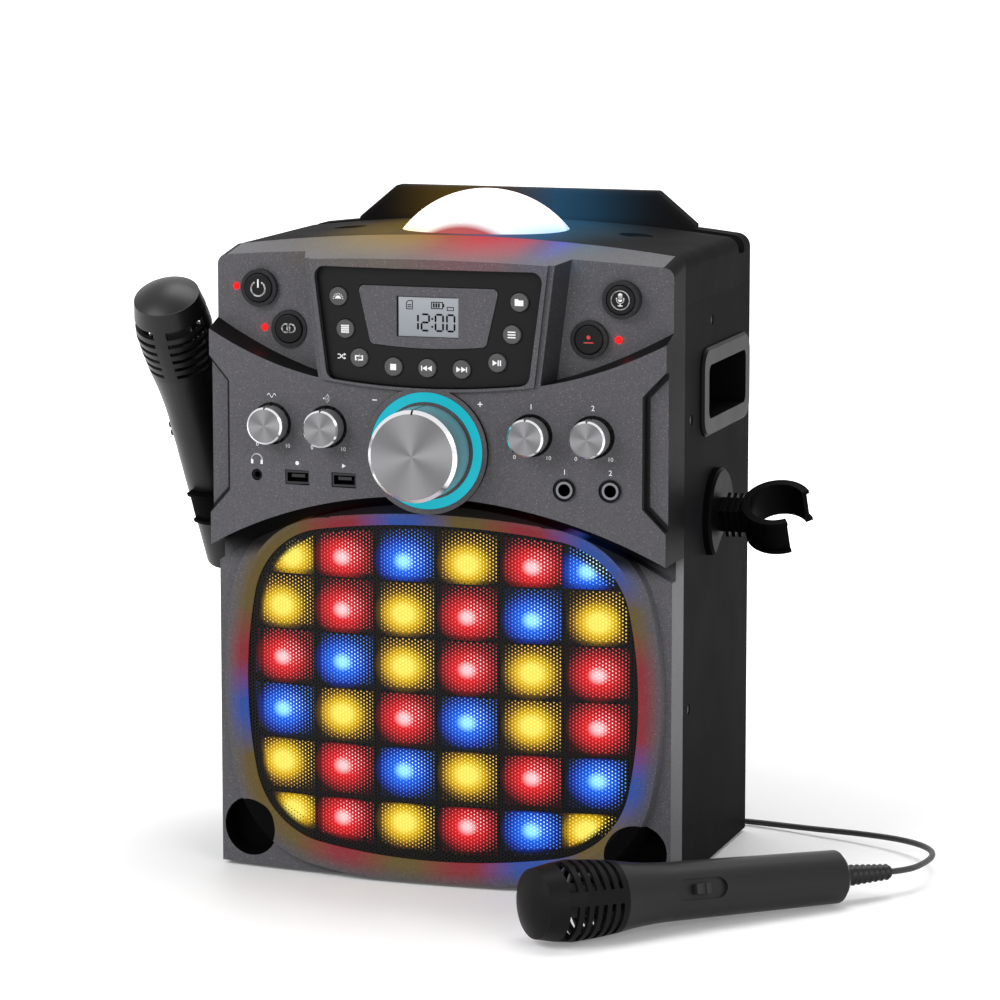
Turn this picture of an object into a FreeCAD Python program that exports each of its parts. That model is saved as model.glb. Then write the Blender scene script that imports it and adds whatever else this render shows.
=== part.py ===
"""Karaoke machine: a portable speaker cabinet with a control fascia, a lit grille,
a light dome, two microphone holders and two wired microphones.

Millimetres. +X is right seen from the front, the front faces -Y, +Z is up.
The origin is the centre of the cabinet's underside.
"""
import FreeCAD, Part
import math
import os

os.makedirs("parts", exist_ok=True)

V = FreeCAD.Vector
AXIS_X = V(1, 0, 0)
AXIS_Y = V(0, 1, 0)
AXIS_Z = V(0, 0, 1)

# Cabinet
cabinet_width = 270.0
cabinet_depth = 146.0
cabinet_wall = 3.0
seam_height = 330.5
foot_height = 2.0
foot_radius = 9.0
foot_inset = 20.0
rear_panel_thickness = 3.0

# Clearances and the overrun of cuts
overrun = 6.0
seat_gap = 0.1
slip_gap = 0.3
running_gap = 0.05

# Bulged front: every front surface is a vertical cylinder of this plan radius
front_radius = 700.0
control_crest = -125.0
pod_crest = -127.0
panel_crest = -123.0
insert_crest = -123.5
pocket_crest = -110.0
cheek_crest = -120.0
tongue_crest = -103.0
speaker_crest = -111.0
rim_crest = -115.0
grille_crest = -111.4
control_wall = 3.0
panel_thickness = 2.4

# Crowned top
crown_radius = 1050.0
cover_crown = 366.4
pod_crown = 357.5
cover_wall = 3.0
cover_round = 8.0
fascia_round = 6.0

# Arches between the control fascia and the speaker fascia
socket_sill = 7.0
control_arch_radius = 275.0
arch_step = 6.0
speaker_arch_radius = 245.0
fascia_floor = 0.0

# Display pod, a trapezium that narrows downwards
pod_top_half = 70.3
pod_bottom_half = 62.4
pod_bottom = 288.0
pod_sag = 4.4
pod_foot_spread = 11.0
panel_top_half = 67.2
panel_bottom_half = 58.9
panel_top = 351.8
panel_bottom = 289.3
panel_sag = 3.6
panel_corner = 6.0
insert_top_half = 41.4
insert_bottom_half = 33.9
insert_top = 341.9
insert_bottom = 309.3
insert_sag = 1.8
insert_corner = 3.0
window_width = 36.4
window_height = 22.8
window_centre = 325.2
module_border = 4.0
module_depth = 7.0
glass_sink = 0.6

# Corner pockets beside the pod
pocket_outer_floor = 321.0
pocket_outer_mouth = 309.0
pocket_mid = 107.0
pocket_mid_floor = 305.0
pocket_mid_mouth = 296.5
pocket_inner_floor = 291.5
pocket_inner_mouth = 287.8
pocket_plane_floor = -97.0
pocket_plane_mouth = -131.0

# Cheeks, recessed panels at both ends of the control band
cheek_groove = 122.0
cheek_slope = 2.3
cheek_top = 284.0
cheek_bottom = 221.0
cheek_flare = 14.0

# Speaker opening: a barrel outline of eight arcs
barrel_half_width = 117.0
barrel_sill = 11.7
barrel_lintel = 12.3
barrel_side_radius = 260.0
barrel_top_radius = 440.0
barrel_corner_radius = 50.0
rim_width = 7.0
rim_bevel = 4.5
rim_bevel_depth = 2.8
skirt_width = 11.0
skirt_rise = 4.6
grille_ledge = 3.5
grille_thickness = 1.0
port_radius = 17.0
port_across = 116.0
port_height = 22.0
port_depth = 16.0

# Light cells behind the grille
cell_columns = 6
cell_rows = 6
cell_pitch_x = 37.0
cell_tall_share = 0.166
cell_wall = 2.0
cell_back = -86.0
strip_width = 14.0
strip_thickness = 1.6
strip_end = 9.0
lamp_side = 5.0
lamp_height = 1.8
lamp_pitch_share = 0.97

# Loudspeaker
baffle_thickness = 4.0
baffle_drop = 14.0
driver_hole = 68.0
flange_radius = 82.0
flange_thickness = 3.0
basket_depth = 44.0
basket_back_radius = 40.0
basket_wall = 2.0
basket_window = 30.0
basket_windows = 4
magnet_radius = 42.0
magnet_thickness = 18.0
pole_radius = 12.0
cone_edge = 60.0
cone_throat = 17.0
cone_depth = 30.0
cone_wall = 1.0
cap_radius = 20.0
surround_ledge = 4.0
former_radius = 16.0
former_length = 10.0

# Buttons on the display panel
button_radius = 5.25
button_proud = 1.5
button_travel = 1.2
button_flange = 1.7
flange_plate = 1.5
plunger_radius = 2.2
button_row_height = 296.6
button_row_pitch = 20.0
button_low_x = 40.5
button_low_z = 300.9
button_mid_x = 48.9
button_mid_z = 316.9
button_high_x = 53.1
button_high_z = 335.0
button_edge = 0.6

# Round buttons in the corner pockets
round_radius = 8.2
round_proud = 0.8
collar_wall = 2.2
collar_front = -106.2
round_high_x = 106.8
round_high_z = 336.4
round_low_x = 88.6
round_low_z = 313.7
round_edge = 1.0
led_radius = 2.0
led_proud = 0.8
led_side = 16.0

# Knobs
master_height = 250.4
master_radius = 26.0
master_face = -152.0
master_base = -128.4
master_edge = 2.0
master_hub = 7.0
small_knob_radius = 10.5
small_knob_length = 11.0
small_knob_height = 261.0
small_knob_outer = 94.7
small_knob_inner = 60.1
small_knob_edge = 1.0
knob_gap = 0.6
pointer_width = 1.2
pointer_depth = 0.7
shaft_radius = 3.0
shaft_engage = 7.0
knob_boss_wall = 2.2
ring_inner = 27.6
ring_outer = 33.0
ring_front = -126.6
ring_depth = 3.0
collar_radius = 36.0
collar_crest = -127.0

# Potentiometers and the board that carries them
board_front = -86.0
board_thickness = 1.6
board_half_width = 127.0
board_high = 349.0
bushing_wall = 1.4
pot_width = 14.0
pot_depth = 8.0
switch_side = 6.0
switch_height = 5.0
press_gap = 0.2
post_radius = 4.0
post_x = 108.0
post_low = 244.0
post_high = 300.0

# Sockets on the control band
socket_height = 231.0
phone_x = -104.5
phone_bore = 1.8
phone_barrel = 3.0
phone_depth = 15.0
usb_left = -78.9
usb_right = -50.0
usb_width = 14.4
usb_height = 7.8
usb_mouth_width = 12.5
usb_mouth_height = 5.1
usb_depth = 14.0
usb_sink = 1.0
usb_tongue_width = 8.0
usb_tongue_height = 1.8
jack_inner = 79.0
jack_outer = 104.5
jack_bore = 3.25
jack_barrel = 4.8
jack_nut = 6.0
jack_nut_height = 1.6
jack_depth = 26.0
jack_body = 14.0

# Top cover features
slot_front = 45.5
slot_back = 59.0
slot_bottom = 348.5
rest_top_half = 81.0
rest_foot_half = 104.0
rest_top = 382.5
rest_back = 71.0
rest_round = 3.0
dimple_x = 87.0
dimple_y = -5.0
dimple_radius = 10.0
dimple_depth = 1.4

# Light dome
dome_y = -16.0
dome_radius = 61.5
dome_apex = 388.5
dome_wall = 2.0
dome_flange = 54.0
dome_flange_plate = 2.0
light_cup_depth = 15.0
light_cup_wall = 2.0
light_lens_radius = 13.0
light_lens_ring = 20.0
light_lens_count = 3

# Hand-holds in the sides
grip_front = -31.0
grip_back = 57.0
grip_low = 259.0
grip_high = 294.0
grip_round = 7.0
grip_depth = 30.0
grip_wall = 2.0
bezel_border_y = 9.0
bezel_border_z = 8.0
bezel_proud = 2.5
bezel_round = 12.0
bezel_bevel = 1.5

# Microphone holders
holder_x = 173.4
holder_y = -6.0
holder_z = 203.0
holder_tilt = 31.0
clip_wall = 2.6
clip_height = 22.0
clip_lip = 1.8
clip_lip_height = 2.2
clip_gap_angle = 96.0
clip_gap_turn = -12.0
arm_width = 13.0
arm_height = 15.0
arm_rib = 2.0
arm_rib_count = 3
base_plate_radius = 27.0
base_plate_thickness = 5.0
base_plate_cut = 10.0
base_plate_edge = 1.5

# Microphones, measured along the axis from the tail
mic_length = 202.0
mic_tail_radius = 15.0
mic_tail_edge = 2.4
mic_neck_radius = 16.4
mic_flare_run = 32.7
mic_flare_radius = 19.9
mic_flare_dip = 0.6
mic_swell = 27.6
mic_head_radius = 22.4
mic_draw = 21.5
mic_rim_radius = 19.2
mic_rim_step = 0.5
mic_cap_rise = 5.5
swell_share = 0.62
shoulder_share = 0.36
mic_head_wall = 2.2
mic_slot_margin = 3.9
mic_slot_band = 34.0
mic_slot_width = 2.7
mic_slot_end_width = 5.0
mic_slot_count = 6
mic_slot_groups = 4
mic_post_width = 8.0
mic_stem_radius = 8.0
mic_stem_length = 16.0
mic_capsule_radius = 9.5
mic_capsule_height = 9.0
mic_gland_radius = 6.6
mic_gland_length = 3.0
mic_gland_bore = 2.2
switch_plate_drop = 31.7
switch_plate_length = 32.7
switch_plate_width = 11.5
switch_plate_depth = 1.6
switch_knob_length = 9.0
switch_knob_width = 5.6
switch_knob_height = 4.6
switch_ridge = 1.0
mic_in_clip = 52.0

# Floor microphone
floor_tail_x = 228.6
floor_tail_y = -83.0
floor_heading = 226.6
floor_roll = 75.0
relief_length = 31.0
relief_radius = 6.3
relief_tip_radius = 4.4
relief_ribs = 8
relief_groove = 1.0
relief_groove_share = 0.45

# Microphone cord
cord_radius = 1.75
coil_x = 20.0
coil_y = 118.0
coil_lift = 1.0
coil_outer = 32.4
coil_pitch = 4.2
coil_half_turns = 12
plug_x = 53.0
plug_y = 152.6
plug_radius = 6.0
plug_length = 28.0
plug_edge = 1.5
plug_pin_radius = 3.175
plug_pin_length = 30.0
plug_tip_length = 4.5
plug_tip_radius = 1.2
plug_waist = 0.6
plug_lead = 9.0
cord_lead = 13.0
arc_share = 0.45
coil_gap_points = 1400
coil_inner_turn_share = 0.012
cord_floor_points = [
    (265.5, -26, 10.3), (266, 0, 9.3), (257.5, 23, 8.1), (238, 45, 6.2), (208, 62, 4), (173.5, 74, 2),
    (140, 86, 0.6), (106, 92, 0), (78, 89, 0), (56, 86.2, 0.6),
]

# Inner pieces
battery_width = 92.0
battery_depth = 42.0
battery_height = 22.0
battery_y = 34.0
battery_round = 3.0
main_board_width = 150.0
main_board_height = 90.0
main_board_low = 130.0
main_board_gap = 8.0
main_post_radius = 3.5
chip_width = 24.0
chip_height = 4.0
sink_width = 44.0
sink_fins = 6
sink_fin = 2.0
sink_depth = 16.0
inlet_x = 84.0
inlet_z = 52.0
inlet_body = 14.0
inlet_depth = 14.0
inlet_bore = 2.9
inlet_pin = 1.0
vent_count = 9
vent_pitch = 9.0
vent_width = 3.4
vent_length = 90.0
vent_low = 236.0

# Screws
screw_head = 2.7
screw_head_height = 2.0
screw_shank = 1.4
screw_length = 9.0
screw_sink = 0.6
side_screws = [(-13.8, 316.5), (-60.2, 98.4), (-58.7, 264.3)]
screw_boss = 5.0

half_width = cabinet_width / 2
half_depth = cabinet_depth / 2
fascia_back = -half_depth
floor_level = -foot_height
total_height = dome_apex
control_arch_top = socket_height - socket_sill
speaker_arch_top = control_arch_top - arch_step
barrel_half_height = (speaker_arch_top - barrel_lintel - barrel_sill) / 2
barrel_centre = barrel_sill + barrel_half_height
cell_pitch_z = 2 * barrel_half_height * cell_tall_share
baffle_top = speaker_arch_top - baffle_drop
board_low = control_arch_top + control_wall + slip_gap
mic_rim = mic_length - mic_cap_rise
mic_head_widest = mic_rim - mic_draw
mic_flare = mic_head_widest - mic_swell
mic_neck = mic_flare - mic_flare_run
mic_slot_first = mic_flare + mic_slot_margin
mic_slot_pitch = (mic_slot_band - mic_slot_end_width) / (mic_slot_count - 1)
switch_plate_low = mic_neck - switch_plate_drop
jack_places = [jack_inner, jack_outer]
usb_places = [usb_left, usb_right]
knob_places = {
    "bass_knob": -small_knob_outer,
    "echo_knob": -small_knob_inner,
    "mic_one_volume_knob": small_knob_inner,
    "mic_two_volume_knob": small_knob_outer,
}
panel_buttons = {
    "light_button": (-button_high_x, button_high_z),
    "pattern_button": (-button_mid_x, button_mid_z),
    "repeat_button": (-button_low_x, button_low_z),
    "stop_button": (-button_row_pitch, button_row_height),
    "previous_button": (0, button_row_height),
    "next_button": (button_row_pitch, button_row_height),
    "play_button": (button_low_x, button_low_z),
    "mode_button": (button_mid_x, button_mid_z),
    "folder_button": (button_high_x, button_high_z),
}
round_buttons = {
    "power_button": (-round_high_x, round_high_z),
    "pairing_button": (-round_low_x, round_low_z),
    "voice_button": (round_high_x, round_high_z),
    "record_button": (round_low_x, round_low_z),
}
led_places = [
    (-round_high_x - led_side, round_high_z),
    (-round_low_x - led_side, round_low_z),
    (round_low_x + led_side, round_low_z),
]


# Plain shapes

def box(x0, x1, y0, y1, z0, z1):
    return Part.makeBox(x1 - x0, y1 - y0, z1 - z0, V(x0, y0, z0))


def rod_y(radius, x, z, y0, y1):
    return Part.makeCylinder(radius, y1 - y0, V(x, y0, z), AXIS_Y)


def rod_z(radius, x, y, z0, z1):
    return Part.makeCylinder(radius, z1 - z0, V(x, y, z0), AXIS_Z)


def tube_y(outer, inner, x, z, y0, y1):
    return rod_y(outer, x, z, y0, y1).cut(rod_y(inner, x, z, y0 - overrun, y1 + overrun))


def outline(points):
    """Closed wire in the XZ plane. A point with a third item is the middle of an arc."""
    edges = []
    start = V(points[0][0], 0, points[0][1])
    here = start
    middle = None
    for point in points[1:] + [points[0]]:
        there = V(point[0], 0, point[1])
        if len(point) == 3:
            middle = there
            continue
        if middle is None:
            edges.append(Part.LineSegment(here, there).toShape())
        else:
            edges.append(Part.Arc(here, middle, there).toShape())
        here = there
        middle = None
    return Part.Wire(edges)


def prism(wire, y0, y1):
    face = Part.Face(wire)
    face.translate(V(0, y0, 0))
    return face.extrude(V(0, y1 - y0, 0))


def taper(mouth, mouth_y, floor, floor_y):
    """Solid between two outlines of the same make, each in its own XZ plane."""
    near = mouth.copy()
    near.translate(V(0, mouth_y, 0))
    far = floor.copy()
    far.translate(V(0, floor_y, 0))
    return Part.makeLoft([near, far], True, True)


def edges_along(shape, axis):
    found = []
    for edge in shape.Edges:
        if isinstance(edge.Curve, Part.Line) and abs(abs(edge.Curve.Direction.dot(axis)) - 1) < 1e-6:
            found.append(edge)
    return found


def round_along(shape, axis, radius):
    return shape.makeFillet(radius, edges_along(shape, axis))


def revolve_y(points, x, z):
    """Solid of revolution about the Y axis through (x, z), from (radius, y) points."""
    ring = [V(x + radius, y, z) for radius, y in points]
    face = Part.Face(Part.makePolygon(ring + [ring[0]]))
    return face.revolve(V(x, 0, z), AXIS_Y, 360)


def revolve_z(points):
    """Solid of revolution about the Z axis, from (radius, z) points."""
    ring = [V(radius, 0, z) for radius, z in points]
    face = Part.Face(Part.makePolygon(ring + [ring[0]]))
    return face.revolve(V(0, 0, 0), AXIS_Z, 360)


def one(shape):
    """The shape with split faces joined again."""
    return shape.removeSplitter()


def mirrored(shape):
    return shape.mirror(V(0, 0, 0), AXIS_X)


# The machine's own surfaces

def bulge(crest):
    """Everything behind the bulged front surface that has this crest."""
    return Part.makeCylinder(front_radius, total_height + 2 * overrun,
                             V(0, crest + front_radius, floor_level - overrun), AXIS_Z)


def bulge_y(crest, x):
    return crest + front_radius - math.sqrt(front_radius ** 2 - x ** 2)


def crown(drop):
    """Everything below the cover's crowned top, lowered by drop."""
    return Part.makeCylinder(crown_radius - drop, cabinet_depth + 2 * overrun,
                             V(0, -half_depth - overrun, cover_crown - crown_radius), AXIS_Y)


def sloped_crown(drop):
    """Everything below the control fascia's top, which falls towards the front."""
    along = V(0, fascia_back - pod_crest, cover_crown - pod_crown)
    run = along.Length
    along.normalize()
    upright = AXIS_X.cross(along)
    start = V(0, pod_crest, pod_crown) - upright * crown_radius - along * run
    return Part.makeCylinder(crown_radius - drop, 3 * run, start, along)


def arch(top, radius, drop):
    """Everything below an arch that spans the front, lowered by drop."""
    return Part.makeCylinder(radius - drop, half_depth - control_crest,
                             V(0, control_crest - overrun, top - radius), AXIS_Y)


def trapezium(top_half, top, bottom_half, bottom, sag):
    return outline([(-top_half, top), (top_half, top), (bottom_half, bottom),
                    (0, bottom - sag, "arc"), (-bottom_half, bottom)])


def barrel(grow):
    """Barrel outline of the speaker opening, every side moved out by grow."""
    side = barrel_side_radius + grow
    lid = barrel_top_radius + grow
    corner = barrel_corner_radius + grow
    side_centre = barrel_half_width - barrel_side_radius
    lid_centre = barrel_half_height - barrel_top_radius
    a = side - corner
    b = lid - corner
    span = math.hypot(side_centre, lid_centre)
    along = (a * a - b * b + span * span) / (2 * span)
    off = math.sqrt(a * a - along * along)
    ux, uz = -side_centre / span, lid_centre / span
    corner_x = side_centre + along * ux - off * uz
    corner_z = along * uz + off * ux
    side_angle = math.atan2(corner_z, corner_x - side_centre)
    lid_angle = math.atan2(corner_z - lid_centre, corner_x)
    mid_angle = (side_angle + lid_angle) / 2
    side_end = (side_centre + side * math.cos(side_angle), side * math.sin(side_angle))
    lid_end = (lid * math.cos(lid_angle), lid_centre + lid * math.sin(lid_angle))
    mid = (corner_x + corner * math.cos(mid_angle), corner_z + corner * math.sin(mid_angle))
    far = barrel_half_width + grow
    high = barrel_half_height + grow
    quarter = [(far, 0, "arc"), side_end, mid + ("arc",), lid_end]
    points = []
    points += [(side_end[0], -side_end[1])] + quarter
    points += [(0, high, "arc"), (-lid_end[0], lid_end[1])]
    points += [(-mid[0], mid[1], "arc"), (-side_end[0], side_end[1])]
    points += [(-far, 0, "arc"), (-side_end[0], -side_end[1])]
    points += [(-mid[0], -mid[1], "arc"), (-lid_end[0], -lid_end[1])]
    points += [(0, -high, "arc"), (lid_end[0], -lid_end[1]), (mid[0], -mid[1], "arc")]
    wire = outline(points)
    wire.translate(V(0, 0, barrel_centre))
    return wire


# Casing

def cabinet_shell():
    shell = box(-half_width, half_width, -half_depth, half_depth, 0, seam_height)
    inner = half_width - cabinet_wall
    shell = shell.cut(box(-inner, inner, -half_depth - overrun, half_depth + overrun,
                          cabinet_wall, seam_height + overrun))
    window = grip_window(slip_gap, -half_width - overrun, half_width + overrun)
    shell = shell.cut(window)
    for y, z in side_screws:
        boss = Part.makeCylinder(screw_boss, screw_length, V(inner - screw_length, y, z), AXIS_X)
        hole = Part.makeCylinder(screw_head + slip_gap, screw_head_height + screw_sink + overrun,
                                 V(half_width - screw_head_height - screw_sink, y, z), AXIS_X)
        bore = Part.makeCylinder(screw_shank, 2 * screw_length,
                                 V(half_width - 2 * screw_length, y, z), AXIS_X)
        shell = shell.fuse([boss, mirrored(boss)])
        shell = shell.cut([hole, mirrored(hole), bore, mirrored(bore)])
    return one(shell)


def rear_screw_places():
    edge = half_width - cabinet_wall - 2 * screw_boss
    high = seam_height - 2 * screw_boss
    low = cabinet_wall + 2 * screw_boss
    middle = (high + low) / 2
    return [(side * edge, z) for side in (-1, 1) for z in (low, middle, high)]


def rear_panel():
    inner = half_width - cabinet_wall - seat_gap
    face = half_depth - rear_panel_thickness
    panel = box(-inner, inner, face, half_depth, cabinet_wall, seam_height)
    for i in range(vent_count):
        x = (i - (vent_count - 1) / 2) * vent_pitch
        slot = box(x - vent_width / 2, x + vent_width / 2, face - overrun, half_depth + overrun,
                   vent_low, vent_low + vent_length)
        panel = panel.cut(round_along(slot, AXIS_Y, vent_width / 2 - seat_gap))
    for x, z in main_post_places():
        panel = panel.fuse(rod_y(main_post_radius, x, z, face - main_board_gap, face))
    for x, z in rear_screw_places():
        panel = panel.cut(rod_y(screw_head + slip_gap, x, z, half_depth - screw_sink - screw_head_height,
                                half_depth + overrun))
        panel = panel.cut(rod_y(screw_shank, x, z, face - overrun, half_depth))
    half = inlet_body / 2 + slip_gap
    panel = panel.cut(box(inlet_x - half, inlet_x + half, face - overrun, half_depth + overrun,
                          inlet_z - half, inlet_z + half))
    return one(panel)


def rubber_feet():
    pads = []
    for sx in (-1, 1):
        for sy in (-1, 1):
            pad = rod_z(foot_radius, sx * (half_width - foot_inset), sy * (half_depth - foot_inset),
                        floor_level, 0)
            pads.append(pad)
    return Part.makeCompound(pads)


def top_cover():
    cover = box(-half_width, half_width, -half_depth, half_depth, seam_height, cover_crown + overrun)
    cover = cover.common(crown(0))
    cover = cover.makeFillet(cover_round, [e for e in edges_along(cover, AXIS_Y)
                                           if e.CenterOfMass.z > seam_height + cover_round])
    rest = prism(outline([(-rest_foot_half, slot_bottom), (-rest_foot_half, cover_crown - cover_wall),
                          (-rest_top_half, rest_top), (rest_top_half, rest_top),
                          (rest_foot_half, cover_crown - cover_wall), (rest_foot_half, slot_bottom)]),
                 slot_back, rest_back)
    rest = rest.makeFillet(rest_round, [e for e in rest.Edges if e.CenterOfMass.z > cover_crown
                                        and abs(e.CenterOfMass.y - slot_back) < rest_back - slot_back])
    cover = cover.fuse(rest)
    inner = half_width - cover_wall
    hollow = box(-inner, inner, -half_depth - overrun, slot_front - cover_wall, seam_height - overrun,
                 cover_crown).common(crown(cover_wall))
    under = box(-inner, inner, -half_depth - overrun, half_depth - cover_wall, seam_height - overrun,
                slot_bottom - cover_wall)
    slot = box(-half_width - overrun, half_width + overrun, slot_front, slot_back, slot_bottom,
               rest_top + overrun)
    seat = rod_z(dome_flange + cover_wall, 0, dome_y, flange_top(), cover_crown).common(crown(cover_wall / 2))
    well = Part.makeSphere(dome_radius + slip_gap, dome_centre())
    cover = cover.cut([hollow, under, slot]).fuse(seat).cut(well)
    for side in (-1, 1):
        x = side * dimple_x
        top = cover_crown - crown_radius + math.sqrt(crown_radius ** 2 - x ** 2)
        cover = cover.cut(rod_z(dimple_radius, x, dimple_y, top - dimple_depth, rest_top))
    return one(cover)


# Control fascia

def pocket(side):
    """Corner pocket beside the pod, with a sloped lower wall and a sloped pod wall."""
    far = half_width + overrun
    high = cover_crown + overrun
    lift = (high - pod_bottom) * (pod_top_half - pod_bottom_half) / (pod_crown - pod_bottom)
    inner = pod_bottom_half
    mouth = [(side * (inner + lift), high), (side * inner, pocket_inner_mouth),
             (side * pocket_mid, pocket_mid_mouth, "arc"), (side * far, pocket_outer_mouth),
             (side * far, high)]
    foot = inner + pod_foot_spread
    floor = [(side * (foot + lift), high), (side * foot, pocket_inner_floor),
             (side * pocket_mid, pocket_mid_floor, "arc"), (side * far, pocket_outer_floor),
             (side * far, high)]
    room = taper(outline(mouth), pocket_plane_mouth, outline(floor), pocket_plane_floor)
    return room.cut(bulge(pocket_crest))


def cheek(side):
    """Recessed end panel of the control band, open to the side."""
    far = half_width + overrun

    def edge(shift):
        groove = cheek_groove + shift
        return outline([(side * groove, cheek_top), (side * far, cheek_top + cheek_flare + overrun),
                        (side * far, cheek_bottom - cheek_flare - overrun), (side * groove, cheek_bottom)])

    room = taper(edge(0), pocket_plane_mouth, edge(cheek_slope), pocket_plane_floor)
    return room.cut(bulge(cheek_crest))


def pod_wire(grow):
    lean = (pod_top_half - pod_bottom_half) / (pod_crown - pod_bottom)
    reach = overrun
    return trapezium(pod_top_half + lean * reach + grow, pod_crown + reach,
                     pod_bottom_half + grow, pod_bottom - grow, pod_sag)


def panel_wire(grow):
    return trapezium(panel_top_half + grow, panel_top + grow, panel_bottom_half + grow,
                     panel_bottom - grow, panel_sag)


def insert_wire(grow):
    return trapezium(insert_top_half + grow, insert_top + grow, insert_bottom_half + grow,
                     insert_bottom - grow, insert_sag)


def panel_seat():
    """Flat floor of the pod's recess, which the panel, the insert and the module meet."""
    return bulge_y(panel_crest + panel_thickness, panel_top_half)


def control_cavity():
    """Hollow behind the fascia: deep behind the control band and the pod, shallow elsewhere."""
    inner = half_width - control_wall
    low = control_arch_top - control_arch_radius
    shallow = box(-inner, inner, control_crest, fascia_back + overrun, low, cover_crown)
    shallow = shallow.common(bulge(pocket_crest + control_wall)).common(sloped_crown(control_wall))
    side = cheek_groove - control_wall - cheek_slope
    deep = box(-side, side, control_crest, fascia_back + overrun, low, pocket_inner_mouth - 2 * control_wall)
    deep = deep.common(bulge(control_crest + control_wall))
    behind = panel_seat() + control_wall
    pod = prism(pod_wire(-control_wall), behind, fascia_back + overrun).common(sloped_crown(control_wall))
    below = arch(control_arch_top, control_arch_radius, -control_wall)
    return shallow.fuse([deep, pod]).cut(below)


def control_fascia():
    block = box(-half_width, half_width, pod_crest, fascia_back, 0, cover_crown + overrun)
    block = block.common(bulge(control_crest))
    pod = prism(pod_wire(0), pod_crest, fascia_back).common(bulge(pod_crest))
    collar = rod_y(collar_radius, 0, master_height, collar_crest, fascia_back)
    body = block.fuse(pod).cut(arch(control_arch_top, control_arch_radius, 0))
    body = body.fuse(collar).common(sloped_crown(0))
    body = body.makeFillet(fascia_round, top_side_edges(body))
    body = body.cut([pocket(-1), pocket(1), cheek(-1), cheek(1)])
    for x, z in round_buttons.values():
        body = body.fuse(rod_y(round_radius + slip_gap + collar_wall, x, z, collar_front,
                               bulge_y(pocket_crest, x)))
    recess = prism(panel_wire(slip_gap), pod_crest - overrun, panel_seat())
    body = body.cut(round_along(recess, AXIS_Y, panel_corner))
    body = body.cut(control_cavity())
    for x in (-post_x, post_x):
        for z, crest in ((post_low, control_crest), (post_high, pocket_crest)):
            body = body.fuse(rod_y(post_radius, x, z, bulge_y(crest + control_wall / 2, x), board_front))
    return one(body.cut(control_holes()))


def top_side_edges(body):
    """The two edges where the crowned top meets the sides."""
    found = []
    for edge in body.Edges:
        centre = edge.CenterOfMass
        on_side = abs(abs(centre.x) - half_width) < seat_gap
        along = abs(edge.tangentAt(edge.FirstParameter).y) > abs(edge.tangentAt(edge.FirstParameter).z)
        if on_side and along and centre.z > panel_bottom:
            found.append(edge)
    return found


def control_holes():
    """Everything that passes through the control fascia's front."""
    front = pod_crest - 2 * overrun
    back = board_front - seat_gap
    cuts = []
    for x, z in panel_buttons.values():
        cuts.append(rod_y(button_radius + slip_gap, x, z, front, back))
    for x, z in round_buttons.values():
        cuts.append(rod_y(round_radius + slip_gap, x, z, front, back))
    for x, z in led_places:
        cuts.append(rod_y(led_radius + seat_gap, x, z, front, back))
    for x in knob_places.values():
        cuts.append(rod_y(shaft_radius + bushing_wall + slip_gap, x, small_knob_height, front, back))
    cuts.append(rod_y(shaft_radius + bushing_wall + slip_gap, 0, master_height, front, back))
    cuts.append(tube_y(ring_outer + seat_gap, ring_inner - seat_gap, 0, master_height, front,
                       ring_front + ring_depth))
    half = window_width / 2 + module_border + slip_gap
    tall = window_height / 2 + module_border + slip_gap
    cuts.append(box(-half, half, front, back, window_centre - tall, window_centre + tall))
    cuts.append(rod_y(phone_barrel + slip_gap, phone_x, socket_height, front, back))
    for x in usb_places:
        wide = usb_width / 2 + slip_gap
        high = usb_height / 2 + slip_gap
        cuts.append(box(x - wide, x + wide, front, back, socket_height - high, socket_height + high))
    for x in jack_places:
        cuts.append(rod_y(jack_barrel + slip_gap, x, socket_height, front, back))
        cuts.append(rod_y(jack_nut + 2 * slip_gap, x, socket_height, front, jack_seat(x)))
    return cuts


def jack_seat(x):
    """Flat seat of a jack's nut, just below the bulged front."""
    return bulge_y(control_crest, abs(x) + jack_nut) + seat_gap


def display_panel():
    plate = round_along(prism(panel_wire(0), pod_crest, panel_seat()), AXIS_Y, panel_corner)
    plate = plate.common(bulge(panel_crest))
    hole = round_along(prism(insert_wire(slip_gap), pod_crest, fascia_back), AXIS_Y, insert_corner)
    cuts = [hole]
    for x, z in panel_buttons.values():
        cuts.append(rod_y(button_radius + slip_gap, x, z, pod_crest, fascia_back))
    return plate.cut(cuts)


def display_insert():
    plate = round_along(prism(insert_wire(0), pod_crest, panel_seat()), AXIS_Y, insert_corner)
    plate = plate.common(bulge(insert_crest))
    return plate.cut(box(-window_width / 2, window_width / 2, pod_crest, fascia_back,
                         window_centre - window_height / 2, window_centre + window_height / 2))


def lcd_module():
    """Display module behind the insert, with its glass standing in the window."""
    half = window_width / 2
    tall = window_height / 2
    wide = half + module_border
    high = tall + module_border
    seat = panel_seat()
    case = box(-wide, wide, seat, seat + module_depth, window_centre - high, window_centre + high)
    glass = box(slip_gap - half, half - slip_gap, bulge_y(insert_crest, half) + glass_sink, seat,
                window_centre - tall + slip_gap, window_centre + tall - slip_gap)
    return one(case.fuse(glass))


def indicator_leds():
    """Light pipes from the control board to the fascia's front."""
    lamps = []
    for x, z in led_places:
        face = bulge_y(pocket_crest, x) - led_proud
        lamp = rod_y(led_radius, x, z, face, board_front)
        front = [e for e in lamp.Edges if e.BoundBox.YMax < face + led_proud]
        lamps.append(lamp.makeFillet(led_radius / 2, front))
    return Part.makeCompound(lamps)


def volume_light_ring():
    return tube_y(ring_outer, ring_inner, 0, master_height, ring_front, ring_front + ring_depth)


# Buttons

def switch_face():
    return board_front - switch_height


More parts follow.
